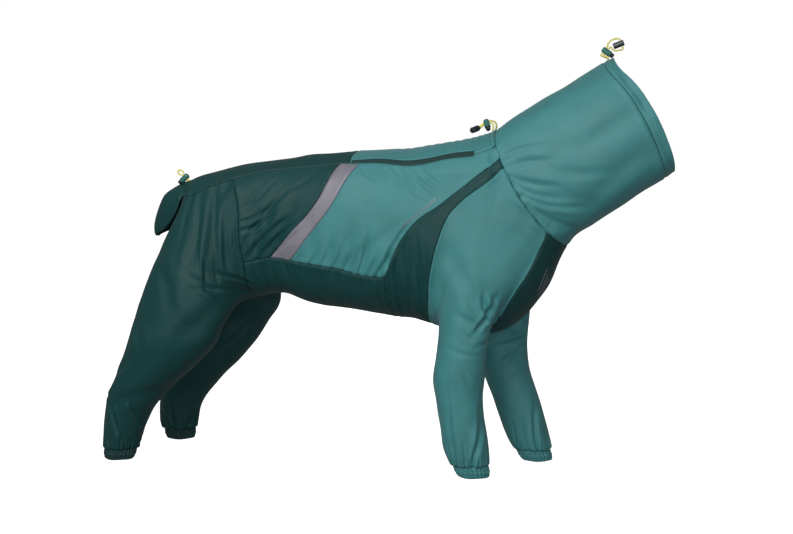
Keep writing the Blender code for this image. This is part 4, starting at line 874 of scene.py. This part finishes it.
def make_legs(run, side, word, finish):
    """A front and a hind leg with their cuffs; just above the cuff the cloth is drawn into gathers."""
    neck_run = straight(run["band front"][0], run["chest edge"][0], STEPS["neck over leg"])
    front_runs = [neck_run, run["chest edge"], run["band front"][::-1]]
    turn = FRONT_TURNS
    front_turns = [
        turn["strap corner"], turn["chest corner"], turn["under corner"], turn["strap corner"] - 360,
    ]
    tail_run = straight((0.0, 180.0), run["zip over thigh"][0], STEPS["tail opening"])
    centre = straight(run["thigh under"][-1], (0.0, 180.0), STEPS["centre rear"])
    hind_runs = [run["zip over thigh"], run["thigh"], run["thigh under"], centre, tail_run]
    turn = HIND_TURNS
    hind_turns = [
        turn["tail corner"], turn["thigh corner"], turn["belly corner"], turn["front centre"],
        turn["tail low"], turn["tail corner"] - 360,
    ]
    for name, runs, corners, rings, material, cuff in (
        ("front_leg", front_runs, front_turns, FRONT_RINGS[side], "light_teal_cloth", "light_teal_cloth"),
        ("hind_leg", hind_runs, hind_turns, HIND_RINGS[side], "dark_green_cloth", "dark_elastic"),
    ):
        opening = joined(*runs)[:-1] * (1, side)
        turns = turns_between(corners, [len(part) - 1 for part in runs])
        shape = LOFT_LEAD[name, side], LOFT_PUFF[name, side]
        grid, start_out = leg_grid(side, opening, turns, rings, opening_inward(opening) * -side, *shape)
        fine = finer(grid, True, LEG_FINE)
        out = -grid_out(fine, closed=True) * side
        out[0] = finer(np.repeat(start_out[None], 2, axis=0), closed=True)[0]
        out[1] = unit(out[0] + out[2])
        angle = np.arctan2(fine[..., 1] - fine[-1, :, 1].mean(), fine[..., 0] - fine[-1, :, 0].mean())
        above = fine[..., 2] - fine[-1, 0, 2]
        waves = np.cos(CUFF_RIBS * 2 * angle + 1.4 * np.sin(3 * angle)) + 0.7 * np.cos(17 * angle + 1.1)
        gathers = 1.0 * waves * np.exp(-((above / 18) ** 2))
        ends = "start", "end"
        cloth(f"{name}_{word}", fine, out, finish[material], True, ends, "stretched", gathers)
        make_cuff(f"{name.replace('leg', 'cuff')}_{word}", side, rings, finish[cuff])


def make_cuff(name, side, rings, material):
    """A gathered elastic cuff below a leg: rings that draw in, waved by uneven ribs, with two rows of
    stitching drawn tight round it. Its upper edge runs up inside the leg's end."""
    z, middle_x, middle_y, half_length, half_width = rings[-1]
    above = rings[-2]
    lean = (middle_x - above[1]) / (above[0] - z)
    turns = np.linspace(0, 2 * np.pi, CUFF_RIBS * 30, endpoint=False)
    depth = np.linspace(CUFF_TOP, 1, 22)[:, None]
    rib = np.cos(turns * CUFF_RIBS * 2 + 1.4 * np.sin(3 * turns)) * (0.9 + 0.3 * np.sin(5 * turns))
    rows = 0.5 * (np.exp(-(((depth - 0.3) / 0.06) ** 2)) + np.exp(-(((depth - 0.7) / 0.06) ** 2)))
    rib = (0.95 - 0.5 * depth * (1 - depth)) * rib
    inset = np.interp(depth, [CUFF_TOP, 0, 0.15, 0.5, 0.85, 1], [4.2, 1.2, 0.2, 0.5, 2.6, 4.6]) + rows
    x = middle_x + lean * CUFF_DEEP * depth + (half_length - inset + rib) * np.cos(turns)
    y = -side * (middle_y + (half_width - inset + rib) * np.sin(turns))
    fall = 0.35 * np.sin(turns * 4 + 0.6)
    grid = np.stack([x, y, np.broadcast_to(z - CUFF_DEEP * depth, x.shape) - fall * depth], axis=-1)
    out = grid_out(grid, closed=True) * side
    over, down, near, along = edge_distances(grid, ("start",))
    maps = (("cut", over, down), ("sewn", along, near))
    item = surface("cloth_" + name, grid, out, material, maps, True, CUFF_THICK)
    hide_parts(name)
    around, deep = over[:, -1].max() * MM, down[-1].max() * MM


def make_flap(material):
    """The tail flap: each row is a quarter wave on both sides of the ridge, down to the side edge,
    with soft waves along its free edge."""
    rows = np.asarray(FLAP_ROWS, float)
    over = np.linspace(-1, 1, STEPS["across back"] + 1)
    root = body(0.0, over * ZIP_SEAM[0][1])
    row = smooth_rows(np.arange(len(rows)), rows, np.linspace(0, len(rows) - 1, FLAP_STEPS))[:, None]
    wave = np.radians(90) * over
    fall = 1 - np.cos(wave)
    x = row[..., 0] + (row[..., 2] - row[..., 0]) * fall
    z = row[..., 1] + (row[..., 3] - row[..., 1]) * fall
    grid = finer(np.concatenate([root[None], np.stack([x, -row[..., 4] * np.sin(wave), z], axis=-1)]))
    out = -grid_out(grid, closed=False)
    down = np.linspace(0, 1, grid.shape[0])[:, None]
    side = np.linspace(-1, 1, grid.shape[1])[None]
    ripple = 0.9 * np.sin(down * 19 + 1.5 * side) * np.abs(side) ** 3 * down + 0.8 * np.sin(down * 9 + 2)
    cloth("tail_flap", grid, out, material, held="hung", extra=ripple)


def make_zip(finish):
    """The coil zip under its flap: a dark tape whose raised middle carries the coil's teeth, a rolled
    edge of light cloth above and below it, and behind it the closed flap of the dark back, whose
    raised rim is coloured lighter as a painted highlight."""
    rows = np.asarray(ZIP_SEAM, float)

    def ribbon(name, start, end, step, rounds, lifts, material, teeth=None):
        """A ribbon along the zip seam: its cross profile is the pairs of turn and lift."""
        station = np.linspace(start, end, int((end - start) / step) + 1)[:, None]
        centre = smooth_rows(rows[:, 0], rows[:, 1:], station[:, 0])
        turn = centre + np.asarray(rounds, float)[None]
        lift = np.broadcast_to(np.asarray(lifts, float)[None], turn.shape)
        if teeth is not None:
            lift = lift + teeth(station, np.asarray(rounds, float)[None])
        ends = np.clip(np.minimum(station - start, end - station) / 3.0, 0, 1)
        points, out = skin(np.broadcast_to(station, turn.shape), turn, lift * ends**0.5)
        over, down, near, along = edge_distances(points, ("left", "right"))
        return surface(name, points, out, material, (("cut", over, down), ("sewn", along, near)))

    def coil(station, round_):
        """Teeth: half waves along the coil, leaning opposite ways on its two sides."""
        side = np.exp(-((round_ / 0.62) ** 2))
        return 0.42 * side * np.abs(np.sin(np.pi * station / ZIP_PITCH + 0.5 * np.sign(round_)))

    start, end = BACK_SPLIT + 4, ZIP_FRONT
    across = np.linspace(-ZIP_HALF, ZIP_HALF, 33)
    tape = 0.5 + 0.5 * np.clip((ZIP_HALF - np.abs(across)) / 0.25, 0, 1)
    tape = tape + 0.7 * np.exp(-((across / 0.8) ** 2))
    item = ribbon("zip_coil_and_tape", start, end, 0.6, across, tape, finish["dark_elastic"], coil)
    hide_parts("zip_tape")
    roll = np.linspace(0, np.pi, 9)
    for name, middle, half, high in (
        ("zip_flap_upper", -ZIP_HALF - 0.1, 0.85, 2.0), ("zip_flap_lower", ZIP_HALF + 0.1, 0.45, 1.2),
    ):
        turns, lifts = middle + half * -np.cos(roll), 0.1 + high * np.sin(roll)
        ribbon(name, start - 2, end + 3, 3.0, turns, lifts, finish["light_teal_cloth"])
    flap_turns = np.array([-5.2, -4.6, -3.4, -2.0, -0.6, 0.6, 1.4, 1.9, 2.15, 2.2, 2.0])
    flap_lifts = np.array([0.0, 0.6, 0.9, 1.0, 1.2, 1.5, 1.8, 1.8, 1.4, 0.7, 0.1])
    ribbon("zip_flap_rear", 26, BACK_SPLIT + 2, 3.0, flap_turns, flap_lifts, finish["dark_green_cloth"])
    # a raised rim along the rear flap's edge, coloured lighter than the dark cloth as a painted highlight
    ribbon(
        "zip_flap_highlight_piping", 26, BACK_SPLIT + 22, 2.5, 2.35 + 0.22 * -np.cos(roll), 0.3 + 1.2 * np.sin(roll),
        finish["edge_highlight_piping"],
    )


def make_casing(material):
    """The drawcord's channel over the back of the neck: a padded ruched band, wider at the ridge."""
    turn = np.linspace(-1, 1, 181)[None] * ZIP_SEAM[-1][1]
    share = np.linspace(0, 1, 13)[:, None]
    bell = np.cos(np.radians(90) * turn / ZIP_SEAM[-1][1])
    wide = NECK_ROW * (CASING_SIDE + (CASING_TOP - CASING_SIDE) * bell)
    station = NECK - 0.8 - wide * (1 - share)
    ruche = 0.45 * np.sin(np.radians(turn) * 44 + 2.2 * np.sin(np.radians(turn) * 7))
    lift = 0.3 + (1.5 + ruche) * np.sin(np.pi * share) ** 0.6
    points, out = skin(station, turn + 0 * station, lift)
    over, down, near, along = edge_distances(points, ("start", "end"))
    item = surface("cloth_neck_casing", points, out, material, (("cut", over, down), ("sewn", along, near)))
    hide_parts("neck_casing")
    width, length = over[:, -1].max() * MM, (down[-1].max() + 2 * TURNED_EDGE) * MM
    area = width * down[-1].mean() * MM


def make_marks(finish):
    """Plain reflective print: a row of short dashes along the light side panel, and three short bars on
    the chest; each is a small patch just off the cloth."""
    bars = []
    start, end = np.array(DASHES[0], float), np.array(DASHES[1], float)
    for k in range(DASH_COUNT):
        a, b = k / DASH_COUNT, (k + 0.62) / DASH_COUNT
        bars.append((start + (end - start) * a, start + (end - start) * b, DASH_WIDE))
    bars += [(np.array(low, float), np.array(high, float), BAR_WIDE) for low, high in CHEST_BARS]
    for number, (first, last, wide) in enumerate(bars):
        material = finish["reflective_print" if number < DASH_COUNT else "reflective_tape"]
        line = last - first
        length = np.hypot(line[0], line[1] * ROUND_MM)
        across = np.array([-line[1] * ROUND_MM, line[0] / ROUND_MM]) / length
        u = np.linspace(0, 1, 7)[:, None, None]
        v = np.linspace(-0.5, 0.5, 5)[None, :, None]
        place = first + u * line + v * wide * across
        points, out = skin(place[..., 0], place[..., 1], np.full(place.shape[:2], 0.22 + PUFF * 0.2))
        over, down, _, _ = edge_distances(points, ())
        surface(f"print_{number + 1}", points, out, material, (("cut", over, down),))


def tube(name, route, radius, material, sides=14, step=1.2):
    """A round cord swept along a smooth curve through its route: rings square to the curve, their
    frame carried on without twist, and closed at both ends."""
    route = np.asarray(route, float)
    knots = np.concatenate([[0.0], np.cumsum(np.linalg.norm(np.diff(route, axis=0), axis=1))])
    count = int(knots[-1] / step) + 2
    centre = smooth_rows(knots, route, np.linspace(0, knots[-1], count))
    forward = unit(np.gradient(centre, axis=0))
    frame = [unit(np.cross(forward[0], np.array([0.3, 1.0, 0.2])))]
    for direction in forward[1:]:
        frame.append(unit(frame[-1] - (frame[-1] @ direction) * direction))
    first = np.array(frame)
    second = np.cross(forward, first)
    turn = np.linspace(0, 2 * np.pi, sides, endpoint=False)[None, :, None]
    ring = np.cos(turn) * first[:, None] + np.sin(turn) * second[:, None]
    size = np.full((count, 1, 1), radius)
    points = centre[:, None] + ring * size
    points = np.concatenate([centre[:1, None] + 0 * ring[:1], points, centre[-1:, None] + 0 * ring[-1:]])
    out = np.concatenate([ring[:1] - forward[0], ring, ring[-1:] + forward[-1]])
    run = np.concatenate([[0.0], np.cumsum(np.linalg.norm(np.diff(centre, axis=0), axis=1))])
    run = np.concatenate([run[:1], run, run[-1:]])[:, None]
    over = np.linspace(0, 1, sides, endpoint=False)[None] * 2 * np.pi * radius + 0 * run
    item = surface(name, points, out, material, (("cut", over, run + 0 * over),), True)
    return item, centre, float(run[-1, 0])


def make_cords(finish):
    """The elastic drawcords through their locks, on the same routes as the solids."""
    for name, (route, far_end, with_pieces) in CORDS.items():
        item, centre, length = tube("elastic_" + name, route, CORD / 2, finish["lime_cord"])
        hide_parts(name)
        tuple(centre[0] * MM)
        round(length * MM, 4)
        (centre * MM).tolist()


def finish_solids(frame, finish):
    """Gives the cord locks, plungers and cord ends their own finishes."""
    for name, item in frame["nodes"].items():
        for start, key in HARD_FINISHES.items():
            if name.startswith(start):
                for slot in item.material_slots:
                    slot.material = finish[key]


# ---------------------------------------------------------------------------------------------
# Finishes
# ---------------------------------------------------------------------------------------------


class Wire:
    """A node's output socket that can be used in sums; node() adds a node fed from wires and numbers."""

    def __init__(self, tree, socket=None):
        self.tree = tree
        self.socket = socket

    def node(self, kind, inputs=None, output=0, **settings):
        item = self.tree.nodes.new(kind)
        for key, value in settings.items():
            setattr(item, key, value)
        for key, value in (inputs or {}).items():
            if isinstance(value, Wire):
                self.tree.links.new(value.socket, item.inputs[key])
            else:
                item.inputs[key].default_value = value
        return Wire(self.tree, item.outputs[output])

    def maths(self, operation, other=0.0, clamp=False):
        return self.node("ShaderNodeMath", {0: self, 1: other}, operation=operation, use_clamp=clamp)

    def __add__(self, other):
        return self.maths("ADD", other)

    def __sub__(self, other):
        return self.maths("SUBTRACT", other)

    def __rsub__(self, number):
        return self.node("ShaderNodeMath", {0: number, 1: self}, operation="SUBTRACT")

    def __mul__(self, other):
        return self.maths("MULTIPLY", other)

    __radd__ = __add__
    __rmul__ = __mul__

    def waves(self, pitch):
        """A sine along this wire, one wave in each pitch."""
        return (self * (2 * np.pi / pitch)).maths("SINE")

    def size(self):
        return self.maths("ABSOLUTE")

    def held(self):
        """Kept between 0 and 1."""
        return self.maths("ADD", 0.0, clamp=True)

    def mixed(self, first, second):
        """A colour between two, by this wire."""
        return self.node(
            "ShaderNodeMix", {0: self, 6: first, 7: second}, output=2, data_type="RGBA", clamp_factor=True
        )


def split(tree, label):
    """The two numbers of a UV map, in metres."""
    uv = Wire(tree).node("ShaderNodeUVMap", uv_map=label)
    return [uv.node("ShaderNodeSeparateXYZ", {0: uv}, output=k) for k in (0, 1)]


def shade(colour, share=1.0):
    """The colour times a share, with full alpha."""
    return (*[share * value for value in colour], 1)


def varied(pattern, gain, shift, colour, darkest, lightest):
    """The colour between two shares of it, by the pattern times gain less shift."""
    return (pattern * gain - shift).held().mixed(shade(colour, darkest), shade(colour, lightest))


def noise(tree, scale, detail=2.0, rough=0.5):
    """Smooth noise in the piece's own place, scale turns a metre."""
    place = Wire(tree).node("ShaderNodeTexCoord", output=3)
    inputs = {"Vector": place, "Scale": scale, "Detail": detail, "Roughness": rough}
    return place.node("ShaderNodeTexNoise", inputs)


def new_finish(name, roughness, specular=0.5):
    """A Principled finish with its even roughness and specular level."""
    item = bpy.data.materials.new(name + FINISH)
    item.use_nodes = True
    shader = item.node_tree.nodes["Principled BSDF"]
    shader.inputs["Specular IOR Level"].default_value = specular
    shader.inputs["Roughness"].default_value = roughness
    return item, item.node_tree, shader


def plug(tree, shader, colour, roughness, height):
    """Feeds the shader; height is in mm and becomes its bump."""
    bump = height.node("ShaderNodeBump", {"Height": height, "Distance": MM, "Strength": 1.0})
    for key, wire in (("Base Color", colour), ("Roughness", roughness), ("Normal", bump)):
        tree.links.new(wire.socket, shader.inputs[key])


def cloth_finish(name, colour, thread, roughness=0.46, sheen=0.07, gloss=0.32, weave=0.05):
    """Coated nylon: a plain weave, faint mottling and crumple, painted shade darkening the cloth along
    each pinched sewn edge, with puckers beside it and a row of stitches."""
    item, tree, shader = new_finish(name, roughness, gloss)
    shader.inputs["Sheen Weight"].default_value = sheen
    shader.inputs["Sheen Roughness"].default_value = 0.45
    over, down = split(tree, "cut")
    along, near = split(tree, "sewn")
    threads = over.waves(WEAVE_M) * down.waves(WEAVE_M)
    mottle = noise(tree, 24.0, 3.0)
    crumple = noise(tree, 95.0, 4.0, 0.6)
    pucker = along.node(
        "ShaderNodeTexNoise", {"W": along, "Scale": 210.0, "Detail": 1.0}, noise_dimensions="1D"
    ) * (1 - near * (1 / PUCKER_M)).held()
    line = (1 - (near - STITCH_IN_M).size() * (1 / STITCH_WIDE_M)).held()
    dash = (along.waves(STITCH_LONG_M) * 4 + 2.0).held()
    stitch = line * dash
    # painted shade: a mask within a mm of each sewn edge, where the pinched seam lies in shade
    seam_painted_shade = (1 - near * (1 / SEAM_SHADE_M)).held()
    base = varied(mottle, 1.6, 0.3, colour, 0.9, 1.08)
    base = (stitch * 0.55).mixed(base, shade(thread))
    # mixes a quarter-bright copy of the cloth in along the seams as painted shade
    base = (seam_painted_shade * 0.32).mixed(base, shade(colour, 0.25))
    height = threads * weave + crumple * 0.55 + pucker * 1.1 + stitch * 0.16 - line * 0.14
    plug(tree, shader, base, mottle * 0.12 + (roughness - 0.06), height)
    return item


def tape_finish(name, colour):
    """Glass-bead reflective tape: a fine pebble, faint wear and a slight metallic grey."""
    item, tree, shader = new_finish(name, 0.42, 0.5)
    shader.inputs["Metallic"].default_value = 0.12
    over, down = split(tree, "cut")
    bead = noise(tree, 900.0, 1.0)
    wear = noise(tree, 40.0, 4.0, 0.65)
    base = varied(wear, 1.8, 0.4, colour, 0.82, 1.12)
    ribs = over.waves(WEAVE_M) * down.waves(WEAVE_M) * 0.04
    plug(tree, shader, base, wear * 0.15 + 0.34, bead * 0.08 + ribs + wear * 0.25)
    return item


def elastic_finish(name, colour):
    """Ribbed elastic and zip tape: fine ribs across, a herringbone between them and soft fluff."""
    item, tree, shader = new_finish(name, 0.62, 0.4)
    shader.inputs["Sheen Weight"].default_value = 0.03
    over, down = split(tree, "cut")
    ribs = down.waves(RIB_M) * 0.5 + 0.5
    weave = (over + down).waves(HERRINGBONE_M) * (over - down).waves(HERRINGBONE_M)
    fluff = noise(tree, 180.0, 3.0)
    base = varied(fluff, 1.5, 0.25, colour, 0.75, 1.35)
    plug(tree, shader, base, fluff * 0.2 + 0.5, ribs * 0.12 + weave * 0.06 + fluff * 0.15)
    return item


def cord_finish(name, colour, strand_hollow_shade):
    """Braided elastic cord: two sets of crossing strands round the cord, with painted shade in the hollows
    between them.
    """
    item, tree, shader = new_finish(name, 0.6, 0.35)
    shader.inputs["Sheen Weight"].default_value = 0.15
    over, down = split(tree, "cut")
    round_cord, along_cord = over * (STRANDS / CORD_ROUND_M), down * (1 / STRAND_M)
    braid = (round_cord + along_cord).waves(1.0).maths("MAXIMUM", (round_cord - along_cord).waves(1.0))
    # painted shade: the darker second colour where the braid dips between strands
    gap = (braid * -2.2 + 0.9).held()
    base = gap.mixed(shade(colour), shade(strand_hollow_shade))
    plug(tree, shader, base, gap * 0.2 + 0.5, braid * 0.12)
    return item


def plastic_finish(name, colour, roughness):
    """Moulded plastic: a fine spark-worn grain and slightly worn gloss."""
    item, tree, shader = new_finish(name, roughness, 0.5)
    grain = noise(tree, 1400.0, 2.0)
    wear = noise(tree, 160.0, 3.0)
    base = varied(wear, 1.5, 0.25, colour, 0.85, 1.2)
    plug(tree, shader, base, wear * 0.16 + (roughness - 0.08), grain * 0.03)
    return item


def make_finishes():
    """Every finish by its name."""
    light, dark = (0.046, 0.208, 0.216), (0.0062, 0.0480, 0.0465)
    return {
        "light_teal_cloth": cloth_finish("light_teal_cloth", light, (0.09, 0.27, 0.27)),
        "dark_green_cloth": cloth_finish(
            "dark_green_cloth", dark, (0.02, 0.075, 0.072), sheen=0.02, gloss=0.2
        ),
        "reflective_tape": tape_finish("reflective_tape", (0.20, 0.19, 0.225)),
        "reflective_print": tape_finish("reflective_print", (0.115, 0.185, 0.20)),
        "dark_elastic": elastic_finish("dark_elastic", (0.0050, 0.034, 0.033)),
        # a lighter grey-green for the flap's rim: a painted highlight along that edge
        "edge_highlight_piping": tape_finish("edge_highlight_piping", (0.045, 0.085, 0.082)),
        # the cord's second colour is painted shade for the hollows of its braid
        "lime_cord": cord_finish("lime_cord", (0.80, 0.74, 0.20), (0.45, 0.45, 0.10)),
        "teal_plastic": plastic_finish("teal_plastic", (0.030, 0.135, 0.120), 0.34),
        "black_plastic": plastic_finish("black_plastic", (0.010, 0.020, 0.022), 0.32),
    }


# ---------------------------------------------------------------------------------------------
# Camera and light
# ---------------------------------------------------------------------------------------------


def view_axes():
    """The camera's backward, right and upward directions from its azimuth and elevation."""
    cos_a, sin_a, cos_e, sin_e = (
        np.cos(VIEW_AZIMUTH), np.sin(VIEW_AZIMUTH), np.cos(VIEW_ELEVATION), np.sin(VIEW_ELEVATION),
    )
    back = np.array([sin_a * cos_e, -cos_a * cos_e, sin_e])
    right = np.array([cos_a, sin_a, 0.0])
    return back, right, np.cross(back, right)


def make_camera():
    """The camera at the photo's view, aimed at the suit's middle."""
    back = Vector(view_axes()[0])
    data = bpy.data.cameras.new("camera")
    data.sensor_width = 36.0
    data.lens = data.sensor_width * FOCAL_PIXELS / PHOTO_WIDTH
    item = bpy.data.objects.new("camera", data)
    item.location = Vector(VIEW_TARGET) + back * VIEW_DISTANCE
    item.rotation_euler = back.to_track_quat("Z", "Y").to_euler()
    bpy.context.scene.collection.objects.link(item)
    bpy.context.scene.camera = item


def soft_light(name, place, aim, size, power):
    """A square area light; the one behind leaves no glint."""
    data = bpy.data.lights.new(name, "AREA")
    data.shape = "SQUARE"
    data.size = size
    data.energy = power
    item = bpy.data.objects.new(name, data)
    item.location = place
    item.rotation_euler = (Vector(place) - Vector(aim)).to_track_quat("Z", "Y").to_euler()
    item.visible_glossy = name != "far fill"
    bpy.context.scene.collection.objects.link(item)


def make_studio():
    """Large soft lights from above and in front, a dim even room, and a pale floor that runs into a
    white backdrop; floor and backdrop add no light of their own to the cloth."""
    for row in LIGHTS:
        soft_light(*row)
    world = bpy.data.worlds.new("studio")
    world.use_nodes = True
    world.node_tree.nodes["Background"].inputs["Color"].default_value = (0.93, 0.96, 1.0, 1)
    world.node_tree.nodes["Background"].inputs["Strength"].default_value = ROOM_LIGHT
    bpy.context.scene.world = world
    pale = bpy.data.materials.new("pale_floor")
    pale.use_nodes = True
    shader = pale.node_tree.nodes["Principled BSDF"]
    shader.inputs["Base Color"].default_value = (0.35, 0.35, 0.35, 1)
    shader.inputs["Roughness"].default_value = 0.9
    shader.inputs["Emission Color"].default_value = (1, 1, 1, 1)
    shader.inputs["Emission Strength"].default_value = FLOOR_GLOW
    mesh = bpy.data.meshes.new("floor")
    reach = 40.0
    corners = (-reach, -reach), (reach, -reach), (reach, reach), (-reach, reach)
    mesh.from_pydata([(*corner, FLOOR_Z) for corner in corners], [], [(0, 1, 2, 3)])
    mesh.materials.append(pale)
    floor = bpy.data.objects.new("floor", mesh)
    dome_mesh = bpy.data.meshes.new("backdrop")
    shape = bmesh.new()
    bmesh.ops.create_icosphere(shape, subdivisions=4, radius=35.0)
    bmesh.ops.reverse_faces(shape, faces=shape.faces)
    shape.to_mesh(dome_mesh)
    shape.free()
    white = bpy.data.materials.new("white_backdrop")
    white.use_nodes = True
    shader = white.node_tree.nodes["Principled BSDF"]
    shader.inputs["Base Color"].default_value = (0, 0, 0, 1)
    shader.inputs["Specular IOR Level"].default_value = 0.0
    shader.inputs["Emission Color"].default_value = (1, 1, 1, 1)
    shader.inputs["Emission Strength"].default_value = 1.0
    dome_mesh.materials.append(white)
    backdrop = bpy.data.objects.new("backdrop", dome_mesh)
    backdrop.visible_shadow = False
    for item in (floor, backdrop):
        item.visible_diffuse = False
        item.visible_glossy = False
        bpy.context.scene.collection.objects.link(item)
    bpy.context.scene.view_settings.view_transform = "Standard"


def main():
    """Dresses the loaded frame, piece by piece."""
    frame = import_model()
    finish = make_finishes()
    make_camera()
    make_cords(finish)
    right, left = seams(RIGHT), seams(LEFT)
    make_panels(right, left, finish)
    make_hood(right, finish["light_teal_cloth"])
    make_legs(right, RIGHT, "right", finish)
    make_legs(left, LEFT, "left", finish)
    make_flap(finish["dark_green_cloth"])
    make_zip(finish)
    make_casing(finish["light_teal_cloth"])
    make_marks(finish)
    finish_solids(frame, finish)
    make_studio()


main()
